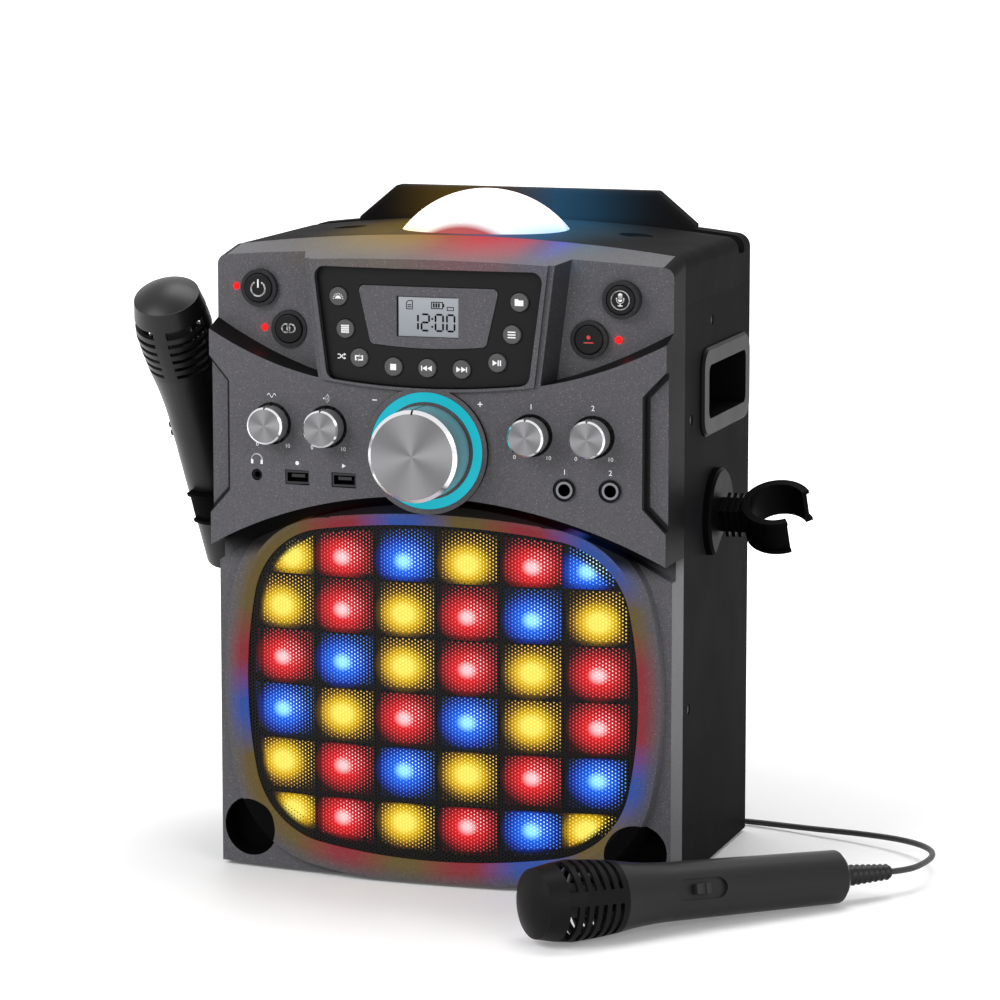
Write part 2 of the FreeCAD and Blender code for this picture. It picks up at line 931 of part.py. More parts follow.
def button(radius, x, z, face, flange_front, edge):
    """A capped plunger with a flange that keeps it behind the fascia."""
    cap = rod_y(radius, x, z, face, flange_front)
    cap = cap.makeFillet(edge, [e for e in cap.Edges if abs(e.CenterOfMass.y - face) < seat_gap])
    flange = rod_y(radius + button_flange, x, z, flange_front, flange_front + flange_plate)
    end = switch_face() - button_travel - press_gap
    plunger = rod_y(plunger_radius, x, z, flange_front, end)
    return one(cap.fuse([flange, plunger]))


def panel_button(x, z):
    flange_front = panel_seat() + control_wall + slip_gap
    return button(button_radius, x, z, bulge_y(panel_crest, x) - button_proud, flange_front, button_edge)


def round_button(x, z):
    inner = pocket_crest + control_wall
    flange_front = bulge_y(inner, abs(x) + round_radius + button_flange) + slip_gap
    return button(round_radius, x, z, collar_front - round_proud, flange_front, round_edge)


# Knobs and potentiometers

def knob(radius, x, z, face, base, edge, hub):
    """A turned knob, hollow behind, with a pointer notch at the top and its shaft."""
    skin = hub - shaft_radius
    floor = face + shaft_engage / 2
    shell = revolve_y([(0, face), (radius - edge, face), (radius, face + edge), (radius, base),
                       (radius - skin, base), (radius - skin, floor), (hub, floor), (hub, base),
                       (shaft_radius, base), (shaft_radius, base - shaft_engage),
                       (0, base - shaft_engage)], x, z)
    notch = box(x - pointer_width / 2, x + pointer_width / 2, face - overrun, base + overrun,
                z + radius - pointer_depth, z + radius + overrun)
    return shell.cut(notch)


def shaft(x, z, base):
    return rod_y(shaft_radius, x, z, base - shaft_engage, board_front - pot_depth / 2)


def master_knob():
    turned = knob(master_radius, 0, master_height, master_face, master_base, master_edge, master_hub)
    return Part.makeCompound([turned, shaft(0, master_height, master_base)])


def small_knob(x):
    base = bulge_y(control_crest, abs(x) - small_knob_radius) - knob_gap
    hub = shaft_radius + knob_boss_wall
    turned = knob(small_knob_radius, x, small_knob_height, base - small_knob_length, base,
                  small_knob_edge, hub)
    return Part.makeCompound([turned, shaft(x, small_knob_height, base)])


def potentiometer(x, z, nose):
    back = board_front
    half = pot_width / 2
    body = box(x - half, x + half, back - pot_depth, back, z - half, z + half)
    bushing = rod_y(shaft_radius + bushing_wall, x, z, nose, back - pot_depth / 2)
    bore = rod_y(shaft_radius + running_gap, x, z, nose - overrun, back - pot_depth / 2 + slip_gap)
    return body.fuse(bushing).cut(bore)


def potentiometers():
    pots = [potentiometer(0, master_height, collar_crest + control_wall)]
    for x in knob_places.values():
        nose = bulge_y(control_crest, abs(x) - shaft_radius) + slip_gap
        pots.append(potentiometer(x, small_knob_height, nose))
    return Part.makeCompound(pots)


def control_board():
    board = box(-board_half_width, board_half_width, board_front, board_front + board_thickness,
                board_low, board_high)
    half = switch_side / 2
    pieces = [board]
    for x, z in list(panel_buttons.values()) + list(round_buttons.values()):
        pieces.append(box(x - half, x + half, switch_face(), board_front, z - half, z + half))
    return Part.makeCompound(pieces)


# Sockets

def headphone_jack():
    face = bulge_y(control_crest, phone_x) + usb_sink
    barrel = rod_y(phone_barrel, phone_x, socket_height, face, board_front)
    return barrel.cut(rod_y(phone_bore, phone_x, socket_height, face - overrun, face + phone_depth))


def usb_socket(x):
    face = bulge_y(control_crest, abs(x)) + usb_sink
    half = usb_width / 2
    tall = usb_height / 2
    body = box(x - half, x + half, face, board_front, socket_height - tall, socket_height + tall)
    mouth = box(x - usb_mouth_width / 2, x + usb_mouth_width / 2, face - overrun, face + usb_depth,
                socket_height - usb_mouth_height / 2, socket_height + usb_mouth_height / 2)
    top = socket_height + usb_mouth_height / 2 - usb_tongue_height / 2
    tongue = box(x - usb_tongue_width / 2, x + usb_tongue_width / 2, face + usb_sink, face + usb_depth,
                 top - usb_tongue_height, top)
    return body.cut(mouth).fuse(tongue)


def mic_jack(x):
    seat = jack_seat(x)
    nut = rod_y(jack_nut, x, socket_height, seat - jack_nut_height, seat)
    barrel = rod_y(jack_barrel, x, socket_height, seat, board_front)
    shoulder = bulge_y(control_crest + control_wall, abs(x) - jack_body / 2) + jack_nut
    half = jack_body / 2
    body = box(x - half, x + half, shoulder, board_front, socket_height - half, socket_height + half)
    whole = nut.fuse([barrel, body])
    end = seat - jack_nut_height + jack_depth
    return one(whole.cut(rod_y(jack_bore, x, socket_height, seat - overrun, end)))


# Speaker fascia, grille and light cells

def skirt_ring():
    """Raised barrel ring whose front falls away on both sides of its rim."""
    plate = prism(barrel(rim_width + skirt_width), rim_crest - overrun, fascia_back)
    plate = plate.common(bulge(rim_crest))
    outer = [e for e in plate.Edges if e.CenterOfMass.y < speaker_crest + skirt_width and is_front(e)]
    plate = plate.makeChamfer(skirt_width, skirt_rise, outer)
    ring = plate.cut(prism(barrel(0), rim_crest - overrun, fascia_back + overrun))
    return ring.makeChamfer(rim_bevel, rim_bevel_depth, [e for e in ring.Edges if on_opening(e)])


def on_opening(edge):
    """True for the front edges of the ring's opening."""
    middle = edge.valueAt((edge.FirstParameter + edge.LastParameter) / 2)
    flat = Part.Vertex(V(middle.x, 0, middle.z))
    off_front = abs(middle.y - bulge_y(rim_crest, middle.x))
    return off_front < seat_gap and barrel(0).distToShape(flat)[0] < seat_gap


def is_front(edge):
    return edge.BoundBox.YMax < fascia_back - control_wall


def speaker_fascia():
    block = box(-half_width, half_width, speaker_crest, fascia_back, fascia_floor, control_arch_top)
    block = block.common(bulge(speaker_crest))
    for side in (-1, 1):
        block = block.cut(rod_y(port_radius, side * port_across, port_height, speaker_crest - overrun,
                                bulge_y(speaker_crest, port_across) + port_depth))
    frame = box(-half_width, half_width, rim_crest, fascia_back, fascia_floor, control_arch_top)
    below = frame.common(arch(speaker_arch_top, speaker_arch_radius, 0))
    body = block.common(below).fuse(skirt_ring().common(below))
    tongue = box(-half_width, half_width, tongue_crest, fascia_back, barrel_centre, control_arch_top)
    tongue = tongue.common(bulge(tongue_crest)).common(arch(control_arch_top, control_arch_radius, seat_gap))
    body = body.fuse(tongue)
    body = body.cut(rod_y(collar_radius + slip_gap, 0, master_height, pod_crest - overrun,
                          fascia_back + overrun))
    body = body.cut(prism(barrel(0), rim_crest - overrun, fascia_back + overrun))
    seat = prism(barrel(grille_ledge), rim_crest - overrun, fascia_back + overrun)
    body = body.cut(seat.common(bulge(grille_crest)))
    return one(body)


def speaker_grille():
    sheet = prism(barrel(grille_ledge - slip_gap), rim_crest, fascia_back)
    return sheet.common(bulge(grille_crest)).cut(bulge(grille_crest + grille_thickness))


def led_cell_grid():
    """Open cells that keep each lamp's light apart."""
    block = prism(barrel(grille_ledge - slip_gap), rim_crest, cell_back)
    block = block.common(bulge(grille_crest + grille_thickness))
    room = prism(barrel(grille_ledge - slip_gap - cell_wall), rim_crest, cell_back + overrun)
    cells = []
    for row in range(cell_rows):
        for column in range(cell_columns):
            x, z = cell_centre(column, row)
            half = (cell_pitch_x - cell_wall) / 2
            tall = (cell_pitch_z - cell_wall) / 2
            if column in (0, cell_columns - 1):
                half = cell_pitch_x
                x += math.copysign(half - (cell_pitch_x - cell_wall) / 2, x)
            low, high = z - tall, z + tall
            if row == 0:
                high = z + cell_pitch_z
            if row == cell_rows - 1:
                low = z - cell_pitch_z
            cells.append(box(x - half, x + half, rim_crest, cell_back + overrun, low, high))
    openings = Part.makeCompound(cells).common(room)
    return block.cut(openings)


def cell_centre(column, row):
    x = (column - (cell_columns - 1) / 2) * cell_pitch_x
    z = barrel_centre + ((cell_rows - 1) / 2 - row) * cell_pitch_z
    return x, z


def led_strips():
    pieces = []
    half = strip_width / 2
    tall = barrel_half_height - strip_end
    for column in range(cell_columns):
        x, top = cell_centre(column, 0)
        reach = tall - abs(x) * strip_end / barrel_half_width
        pieces.append(box(x - half, x + half, cell_back, cell_back + strip_thickness,
                          barrel_centre - reach, barrel_centre + reach))
        x = x * lamp_pitch_share
        for row in range(cell_rows):
            z = barrel_centre + (cell_centre(column, row)[1] - barrel_centre) * lamp_pitch_share
            side = lamp_side / 2
            pieces.append(box(x - side, x + side, cell_back - lamp_height, cell_back, z - side, z + side))
    return Part.makeCompound(pieces)


# Loudspeaker

def speaker_baffle():
    inner = half_width - cabinet_wall - seat_gap
    board = box(-inner, inner, fascia_back, fascia_back + baffle_thickness, cabinet_wall, baffle_top)
    return board.cut(rod_y(driver_hole, 0, barrel_centre, fascia_back - overrun, 0))


def speaker_frame():
    """Pressed basket with windows, and the magnet behind it."""
    front = fascia_back + baffle_thickness
    plate = front + flange_thickness
    back = plate + basket_depth
    wide = driver_hole
    end = back + basket_wall
    basket = revolve_y([(wide, front), (flange_radius, front), (flange_radius, plate),
                        (wide + basket_wall, plate), (basket_back_radius + basket_wall, end),
                        (pole_radius, end), (pole_radius, back), (basket_back_radius, back),
                        (wide - surround_ledge, plate), (wide - surround_ledge, front + cone_wall),
                        (wide, front + cone_wall)], 0, barrel_centre)
    high = barrel_centre + flange_radius
    window = box(-basket_window / 2, basket_window / 2, plate + 2 * basket_wall, back - 2 * basket_wall,
                 barrel_centre, high)
    for i in range(basket_windows):
        turned = window.copy()
        turned.rotate(V(0, 0, barrel_centre), AXIS_Y, 360 * i / basket_windows)
        basket = basket.cut(turned)
    magnet = tube_y(magnet_radius, pole_radius, 0, barrel_centre, end, end + magnet_thickness)
    return Part.makeCompound([basket, magnet])


def speaker_cone():
    front = fascia_back + baffle_thickness
    throat = front + cone_depth
    return revolve_y([(cone_edge, front), (cone_edge, front + cone_wall), (cone_throat, throat + cone_wall),
                      (former_radius, throat + cone_wall + former_length),
                      (former_radius - cone_wall, throat + cone_wall + former_length),
                      (former_radius - cone_wall, throat), (0, throat - cap_radius / 2),
                      (0, throat - cap_radius / 2 - cone_wall), (cap_radius, throat - cone_wall * 2)],
                     0, barrel_centre)


def speaker_surround():
    """Soft ring between the cone and the basket's ledge."""
    front = fascia_back + baffle_thickness
    inner = cone_edge + slip_gap
    return tube_y(driver_hole - slip_gap, inner, 0, barrel_centre, front, front + cone_wall)


# Dome

def dome_centre():
    return V(0, dome_y, dome_apex - dome_radius)


def dome_lens():
    low = flange_top()
    ball = Part.makeSphere(dome_radius, dome_centre())
    ball = ball.cut(Part.makeSphere(dome_radius - dome_wall, dome_centre()))
    cap = ball.common(rod_z(dome_radius, 0, dome_y, low - dome_flange_plate, dome_apex + overrun))
    rim = math.sqrt((dome_radius - dome_wall) ** 2 - (low - dome_centre().z) ** 2)
    flange = rod_z(dome_flange, 0, dome_y, low - dome_flange_plate, low)
    flange = flange.cut(rod_z(rim, 0, dome_y, seam_height, dome_apex))
    return one(cap.fuse(flange))


def flange_top():
    """Top of the dome's flange, just under the crowned cover's lowest place above it."""
    return cover_crown - cover_wall - (dome_flange + cover_wall) ** 2 / (2 * crown_radius) - slip_gap


def dome_light():
    """Round cup under the dome with a board and three lamp lenses."""
    top = flange_top() - dome_flange_plate
    low = top - light_cup_depth
    cup = rod_z(dome_flange, 0, dome_y, low, top)
    cup = cup.cut(rod_z(dome_flange - light_cup_wall, 0, dome_y, low + light_cup_wall, top + overrun))
    pieces = [cup]
    for i in range(light_lens_count):
        turn = 2 * math.pi * i / light_lens_count - math.pi / 2
        x = light_lens_ring * math.cos(turn)
        y = dome_y + light_lens_ring * math.sin(turn)
        ball = Part.makeSphere(light_lens_radius, V(x, y, low + light_cup_wall))
        pieces.append(ball.common(rod_z(light_lens_radius, x, y, low + light_cup_wall, dome_apex)))
    return Part.makeCompound(pieces)


# Hand-holds

def grip_window(grow, x0, x1):
    window = box(x0, x1, grip_front - grow, grip_back + grow, grip_low - grow, grip_high + grow)
    return round_along(window, AXIS_X, grip_round + grow)


def handle_cup(side):
    """Moulded recess with an outer bezel that lies on the side panel."""
    inner = half_width - grip_depth
    cup = grip_window(0, inner, half_width)
    bezel = box(half_width, half_width + bezel_proud, grip_front - bezel_border_y, grip_back + bezel_border_y,
                grip_low - bezel_border_z, grip_high + bezel_border_z)
    bezel = round_along(bezel, AXIS_X, bezel_round)
    outer = [e for e in bezel.Edges if e.CenterOfMass.x > half_width + bezel_proud - seat_gap]
    bezel = bezel.makeChamfer(bezel_bevel, outer)
    hollow = grip_window(-grip_wall, inner + grip_wall, half_width + bezel_proud + overrun)
    cup = cup.fuse(bezel).cut(hollow)
    return one(cup) if side > 0 else mirrored(one(cup))


# Microphone holders, made with the clip's axis along Z and turned forwards

def tilted(shape):
    shape.rotate(V(0, 0, 0), AXIS_X, holder_tilt)
    shape.translate(V(holder_x, holder_y, holder_z))
    return shape


def clip_bore():
    """Radius of the clip, from the microphone's handle where it sits."""
    share = mic_in_clip / mic_neck
    return mic_tail_radius + (mic_neck_radius - mic_tail_radius) * share + slip_gap


def mic_holder(side):
    bore = clip_bore()
    outer = bore + clip_wall
    half = clip_height / 2
    clip = Part.makeCylinder(outer, clip_height, V(0, 0, -half))
    for low in (-half, half - clip_lip_height):
        clip = clip.fuse(Part.makeCylinder(outer + clip_lip, clip_lip_height, V(0, 0, low)))
    reach = half_width - holder_x
    arm = box(reach, -bore, -arm_width / 2, arm_width / 2, -arm_height / 2, arm_height / 2)
    ribs = []
    arm_start = reach + base_plate_thickness
    for i in range(arm_rib_count):
        x = arm_start + (i + 1) * (-outer - arm_start) / (arm_rib_count + 1)
        ribs.append(box(x - arm_rib / 2, x + arm_rib / 2, -arm_width / 2 - arm_rib, arm_width / 2 + arm_rib,
                        -arm_height / 2 - arm_rib, arm_height / 2 + arm_rib))
    plate = Part.makeCylinder(base_plate_radius, base_plate_thickness, V(reach, 0, 0), AXIS_X)
    plate = plate.makeChamfer(base_plate_edge, [e for e in plate.Edges
                                                if e.BoundBox.XMin > reach + base_plate_edge])
    plate = plate.cut(box(reach - overrun, 0, -half_depth, half_depth, -half_depth, -base_plate_cut))
    through = Part.makeCylinder(bore, 2 * clip_height, V(0, 0, -clip_height))
    wedge = Part.makeCylinder(2 * outer, 2 * clip_height, V(0, 0, -clip_height), AXIS_Z, clip_gap_angle)
    wedge.rotate(V(0, 0, 0), AXIS_Z, clip_gap_turn - clip_gap_angle / 2)
    body = clip.fuse([arm, plate] + ribs).cut([through, wedge])
    body = tilted(one(body))
    return body if side > 0 else mirrored(body)


# Microphones, made with the axis along Z from the tail

def mic_body():
    """Handle with its flared neck, the switch recess, the gland and the capsule's stem."""
    points = [V(0, 0, 0), V(mic_tail_radius - mic_tail_edge, 0, 0), V(mic_tail_radius, 0, mic_tail_edge),
              V(mic_neck_radius, 0, mic_neck)]
    edges = [Part.LineSegment(a, b).toShape() for a, b in zip(points, points[1:])]
    flare = V(mic_flare_radius, 0, mic_flare)
    belly = V((mic_neck_radius + mic_flare_radius) / 2 - mic_flare_dip, 0, (mic_neck + mic_flare) / 2)
    edges.append(Part.Arc(points[-1], belly, flare).toShape())
    stem = mic_flare + mic_stem_length
    rest = [flare, V(mic_stem_radius, 0, mic_flare), V(mic_stem_radius, 0, stem), V(0, 0, stem), V(0, 0, 0)]
    edges += [Part.LineSegment(a, b).toShape() for a, b in zip(rest, rest[1:])]
    body = Part.Face(Part.Wire(edges)).revolve(V(0, 0, 0), AXIS_Z, 360)
    gland = Part.makeCylinder(mic_gland_radius, mic_gland_length + mic_tail_edge, V(0, 0, -mic_gland_length))
    body = body.fuse(gland)
    body = body.cut(Part.makeCylinder(mic_gland_bore, 2 * mic_gland_length, V(0, 0, -mic_gland_length)))
    face = switch_plate_face()
    plate = box(-switch_plate_width / 2, switch_plate_width / 2, -2 * mic_head_radius, face,
                switch_plate_low, switch_plate_low + switch_plate_length)
    plate = round_along(plate, AXIS_Y, switch_plate_width / 2 - seat_gap)
    return one(body.cut(plate))


def switch_plate_face():
    return switch_plate_depth - mic_tail_radius


def mic_capsule():
    low = mic_flare + mic_stem_length
    return Part.makeCylinder(mic_capsule_radius, mic_capsule_height, V(0, 0, low))


def mic_basket():
    """Slotted basket that swells from the handle's rim and draws in towards the cap."""
    swell = mic_flare_radius + (mic_head_radius - mic_flare_radius) * swell_share
    shoulder = mic_head_radius + (mic_rim_radius - mic_head_radius) * shoulder_share
    belly = (mic_flare + mic_head_widest) / 2
    draw = (mic_head_widest + mic_rim) / 2
    section = [(mic_flare_radius, mic_flare), (swell, belly), (mic_head_radius, mic_head_widest),
               (shoulder, draw), (mic_rim_radius, mic_rim)]
    inner = [(radius - mic_head_wall, z) for radius, z in section[::-1]]
    skin = revolve_z(section + inner)
    posts = []
    for i in range(mic_slot_groups):
        post = box(0, 2 * mic_head_radius, -mic_post_width / 2, mic_post_width / 2, mic_flare, mic_length)
        post.rotate(V(0, 0, 0), AXIS_Z, 360 * i / mic_slot_groups)
        posts.append(post)
    slots = []
    for i in range(mic_slot_count):
        low = mic_slot_first + i * mic_slot_pitch
        height = mic_slot_end_width if i == mic_slot_count - 1 else mic_slot_width
        ring = Part.makeCylinder(2 * mic_head_radius, height, V(0, 0, low))
        slots.append(ring.cut(posts))
    return skin.cut(slots)


def mic_cap():
    """Domed disc on the basket's upper rim."""
    rise = mic_length - mic_rim
    radius = mic_rim_radius - mic_rim_step
    ball_radius = (radius ** 2 + rise ** 2) / (2 * rise)
    ball = Part.makeSphere(ball_radius, V(0, 0, mic_length - ball_radius))
    return ball.common(Part.makeCylinder(radius, 2 * rise, V(0, 0, mic_rim)))


def mic_switch():
    """Ridged slider in the middle of the switch recess."""
    face = switch_plate_face()
    middle = switch_plate_low + switch_plate_length / 2
    low = middle - switch_knob_length / 2
    slider = box(-switch_knob_width / 2, switch_knob_width / 2, face - switch_knob_height, face - seat_gap,
                 low, low + switch_knob_length)
    groove = box(-switch_knob_width, switch_knob_width, face - 2 * switch_knob_height,
                 face - switch_knob_height + switch_ridge, low + switch_knob_length / 3,
                 low + 2 * switch_knob_length / 3)
    return slider.cut(groove)


def relief_profile():
    base = -mic_gland_length
    end = base - relief_length
    points = [(mic_gland_bore, base), (relief_radius, base)]
    step = relief_length / relief_ribs
    for i in range(relief_ribs):
        radius = relief_radius + (relief_tip_radius - relief_radius) * i / relief_ribs
        low = base - i * step
        neck = low - step * (1 - relief_groove_share)
        points += [(radius, neck), (radius - relief_groove, neck), (radius - relief_groove, low - step)]
    return points + [(0, end), (0, base - relief_groove), (mic_gland_bore, base - relief_groove)]


def strain_relief():
    """Ribbed sleeve on the tail's gland; its end face is where the cord leaves."""
    return revolve_z(relief_profile())


def in_holder(shape):
    """Moves a microphone piece into the left holder, its switch turned away from the cabinet."""
    piece = shape.copy()
    piece.rotate(V(0, 0, 0), AXIS_Z, 90)
    piece.translate(V(0, 0, -mic_in_clip))
    return mirrored(tilted(piece))


def floor_axis():
    """Direction from the floor microphone's tail to its head, which lies on its widest place."""
    slope = math.asin((mic_head_radius - mic_tail_radius) / mic_head_widest)
    turn = math.radians(floor_heading)
    return V(math.cos(turn) * math.cos(slope), math.sin(turn) * math.cos(slope), math.sin(slope))


def floor_tail():
    return V(floor_tail_x, floor_tail_y, floor_level + mic_tail_radius + slip_gap)


def on_floor(shape):
    """Lays a microphone piece on the floor with its switch up and towards the front."""
    axis = floor_axis()
    tail = floor_tail()
    up = AXIS_Z - axis * axis.z
    up.normalize()
    level = up.cross(axis)
    turn = math.radians(floor_roll)
    back = up * -math.cos(turn) - level * math.sin(turn)
    right = back.cross(axis)
    piece = shape.copy()
    piece.Placement = FreeCAD.Placement(FreeCAD.Matrix(
        right.x, back.x, axis.x, tail.x,
        right.y, back.y, axis.y, tail.y,
        right.z, back.z, axis.z, tail.z,
        0, 0, 0, 1))
    return piece


# Cord: straight runs joined by tangent arcs, then the put-away coil

def cord_level():
    return floor_level + cord_radius


def cord_exit():
    return floor_tail() - floor_axis() * (mic_gland_length + relief_length)


def coil_level():
    return cord_level() + coil_lift


def run_path(points, label):
    """Wire of runs and tangent arcs, each arc as large as its two runs allow."""
    edges = []
    here = points[0]
    radii = []
    for before, corner, after in zip(points, points[1:], points[2:]):
        back = before - corner
        ahead = after - corner
        reach = arc_share * min(back.Length, ahead.Length)
        turn = math.pi - back.getAngle(ahead)
        radius = reach / math.tan(turn / 2)
        radii.append(round(radius, 1))
        back.normalize()
        ahead.normalize()
        first = corner + back * reach
        last = corner + ahead * reach
        inward = (back + ahead).normalize()
        middle = corner + inward * (radius / math.cos(turn / 2) - radius)
        edges.append(Part.LineSegment(here, first).toShape())
        edges.append(Part.Arc(first, middle, last).toShape())
        here = last
    edges.append(Part.LineSegment(here, points[-1]).toShape())
    print(label, "radii", radii)
    return Part.Wire(edges)


def tube(wire, label):
    """Round tube along a wire, with its volume compared with section times length."""
    start = wire.Edges[0]
    point = start.valueAt(start.FirstParameter)
    heading = start.tangentAt(start.FirstParameter)
    ring = Part.Wire(Part.makeCircle(cord_radius, point, heading))
    solid = wire.makePipeShell([ring], True, False)
    expected = math.pi * cord_radius ** 2 * wire.Length
    print(label, "length", round(wire.Length, 1), "volume share", round(solid.Volume / expected, 4))
    return solid


def cord_route():
    """Points from the strain relief round the cabinet's rear corner to the coil."""
    start = cord_exit()
    ahead = floor_axis() * -1
    points = [start, start + ahead * cord_lead]
    for x, y, z in cord_floor_points:
        points.append(V(x, y, cord_level() + z))
    join = coil_start()
    points.append(join + AXIS_X * cord_lead)
    points.append(join)
    return points


def coil_start():
    return V(coil_x + 2 * cord_radius, coil_y - coil_outer, coil_level())


def half_turn(start, heading, end):
    """Half a turn as two quarter arcs that leave and arrive along the same line."""
    reach = (end - start).Length / 2
    first = start + heading * reach
    second = end + heading * reach
    top = (first + second) * (1 / 2)
    return quarter_arc(start, first, top) + quarter_arc(top, second, end)


def quarter_arc(start, corner, end):
    out = (start - corner).normalize() + (end - corner).normalize()
    out.normalize()
    half = (start - corner).getAngle(end - corner) / 2
    reach = (start - corner).Length
    radius = reach * math.tan(half)
    middle = corner + out * (radius / math.sin(half) - radius)
    return [Part.Arc(start, middle, end).toShape()]


def coil_wire():
    """One unbroken line: it spirals in on the floor, climbs a layer and spirals out again."""
    point = V(coil_x, coil_y - coil_outer, coil_level())
    heading = AXIS_X * -1
    edges = [Part.LineSegment(coil_start(), point).toShape()]
    radii = [coil_outer - i * coil_pitch / 2 for i in range(coil_half_turns)]
    inner = radii[-1] - coil_pitch / 2
    steps = [(radius, 0) for radius in radii]
    steps = steps + [(inner, coil_pitch)] + steps[::-1]
    side = 1
    for radius, climb in steps:
        end = point + V(0, side * 2 * radius, climb)
        edges += half_turn(point, heading, end)
        point = end
        heading = heading * -1
        side = -side
    edges.append(Part.LineSegment(point, point + heading * 2 * cord_radius).toShape())
    return Part.Wire(edges), point + heading * 2 * cord_radius


def print_coil_gap(wire):
    """Prints the least gap between turns, measured on points along the line."""
    points = wire.discretize(Number=coil_gap_points)
    skip = int(coil_gap_points * coil_inner_turn_share)
    least = min((points[i] - points[j]).Length for i in range(len(points))
                for j in range(i + skip, len(points)))
    print("coil least gap", round(least - 2 * cord_radius, 2))


def plug_axis_point():
    return V(plug_x, plug_y, floor_level + plug_radius)


def cord_tail_route(end):
    start = end
    stop = plug_axis_point()
    return [start, start + AXIS_X * plug_lead, stop - AXIS_X * plug_lead, stop]


def mic_plug():
    """Moulded plug with its metal pin, lying along X."""
    base = plug_axis_point()
    sleeve = Part.makeCylinder(plug_radius, plug_length, base, AXIS_X)
    sleeve = sleeve.makeChamfer(plug_edge, [e for e in sleeve.Edges if len(e.Vertexes) == 1])
    waist = plug_pin_length - plug_tip_length
    pin = revolve_z([(0, 0), (plug_pin_radius, 0), (plug_pin_radius, waist),
                     (plug_pin_radius - plug_waist, waist), (plug_pin_radius, waist + plug_tip_length / 2),
                     (plug_tip_radius, plug_pin_length), (0, plug_pin_length)])
    pin.rotate(V(0, 0, 0), AXIS_Y, 90)
    pin.translate(base + AXIS_X * plug_length)
    return Part.makeCompound([sleeve, pin])


# Inner pieces

def main_post_places():
    x = main_board_width / 2 - 2 * main_post_radius
    low = main_board_low + 2 * main_post_radius
    high = main_board_low + main_board_height - 2 * main_post_radius
    return [(-x, low), (x, low), (-x, high), (x, high)]


def main_board():
    """Board on the rear panel's posts, with a finned heat sink and a chip."""
    back = half_depth - rear_panel_thickness - main_board_gap
    front = back - board_thickness
    middle = main_board_low + main_board_height / 2
    board = box(-main_board_width / 2, main_board_width / 2, front, back, main_board_low,
                main_board_low + main_board_height)
    sink = box(-sink_width / 2, sink_width / 2, front - sink_depth, front, middle - sink_width / 2,
               middle + sink_width / 2)
    gap = (sink_width - sink_fins * sink_fin) / (sink_fins - 1)
    for i in range(sink_fins - 1):
        x = -sink_width / 2 + sink_fin + i * (gap + sink_fin)
        sink = sink.cut(box(x, x + gap, front - sink_depth - overrun, front - sink_fin, middle - sink_width,
                            middle + sink_width))
    chip_x = main_board_width / 4 + chip_width / 4
    chip = box(chip_x - chip_width / 2, chip_x + chip_width / 2, front - chip_height, front,
               middle - chip_width / 2, middle + chip_width / 2)
    return Part.makeCompound([board, sink, chip])


def battery_pack():
    pack = box(-battery_width / 2, battery_width / 2, battery_y - battery_depth / 2,
               battery_y + battery_depth / 2, cabinet_wall, cabinet_wall + battery_height)
    return round_along(pack, AXIS_X, battery_round)


def dc_inlet():
    """Power inlet in the rear panel, with its centre pin and a flange against the panel."""
    half = inlet_body / 2
    wide = half + rear_panel_thickness
    seat = half_depth - rear_panel_thickness
    body = box(inlet_x - half, inlet_x + half, half_depth - inlet_depth, half_depth,
               inlet_z - half, inlet_z + half)
    body = body.fuse(box(inlet_x - wide, inlet_x + wide, seat - rear_panel_thickness, seat,
                         inlet_z - half, inlet_z + half))
    floor = half_depth - inlet_depth + rear_panel_thickness
    body = body.cut(rod_y(inlet_bore, inlet_x, inlet_z, floor, half_depth + overrun))
    return body.fuse(rod_y(inlet_pin, inlet_x, inlet_z, floor, half_depth - rear_panel_thickness))


def screw(point, outwards):
    """Pan-head screw whose head's top is at point, facing outwards."""
    inwards = outwards * -1
    head = Part.makeCylinder(screw_head, screw_head_height, point, inwards)
    neck = point + inwards * screw_head_height
    shank = Part.makeCylinder(screw_shank - seat_gap, screw_length, neck, inwards)
    return head.fuse(shank)


def case_screws():
    screws = []
    for y, z in side_screws:
        for side in (-1, 1):
            screws.append(screw(V(side * (half_width - screw_sink), y, z), AXIS_X * side))
    for x, z in rear_screw_places():
        screws.append(screw(V(x, half_depth - screw_sink, z), AXIS_Y))
    return Part.makeCompound(screws)


shapes = {
    "cabinet_shell": cabinet_shell(),
    "rear_panel": rear_panel(),
    "top_cover": top_cover(),
    "control_fascia": control_fascia(),
    "speaker_fascia": speaker_fascia(),
    "rubber_feet": rubber_feet(),
    "case_screws": case_screws(),
    "display_panel": display_panel(),
    "display_insert": display_insert(),
    "lcd_module": lcd_module(),
    "indicator_leds": indicator_leds(),
    "volume_light_ring": volume_light_ring(),
    "headphone_jack": headphone_jack(),
    "usb_sockets": Part.makeCompound([usb_socket(x) for x in usb_places]),
    "mic_jacks": Part.makeCompound([mic_jack(x) for x in jack_places]),
    "control_board": control_board(),
    "potentiometers": potentiometers(),
    "speaker_grille": speaker_grille(),
    "led_cell_grid": led_cell_grid(),
    "led_strips": led_strips(),
    "speaker_baffle": speaker_baffle(),
    "speaker_frame": speaker_frame(),
    "speaker_cone": speaker_cone(),
    "speaker_surround": speaker_surround(),
    "dome_lens": dome_lens(),
    "dome_light": dome_light(),
    "handle_cup_left": handle_cup(-1),
    "handle_cup_right": handle_cup(1),
    "mic_holder_left": mic_holder(-1),
    "mic_holder_right": mic_holder(1),
    "battery_pack": battery_pack(),
    "main_board": main_board(),
    "dc_inlet": dc_inlet(),
    "master_knob": master_knob(),
}
for name, x in knob_places.items():
    shapes[name] = small_knob(x)
for name, (x, z) in panel_buttons.items():
    shapes[name] = panel_button(x, z)
for name, (x, z) in round_buttons.items():
    shapes[name] = round_button(x, z)

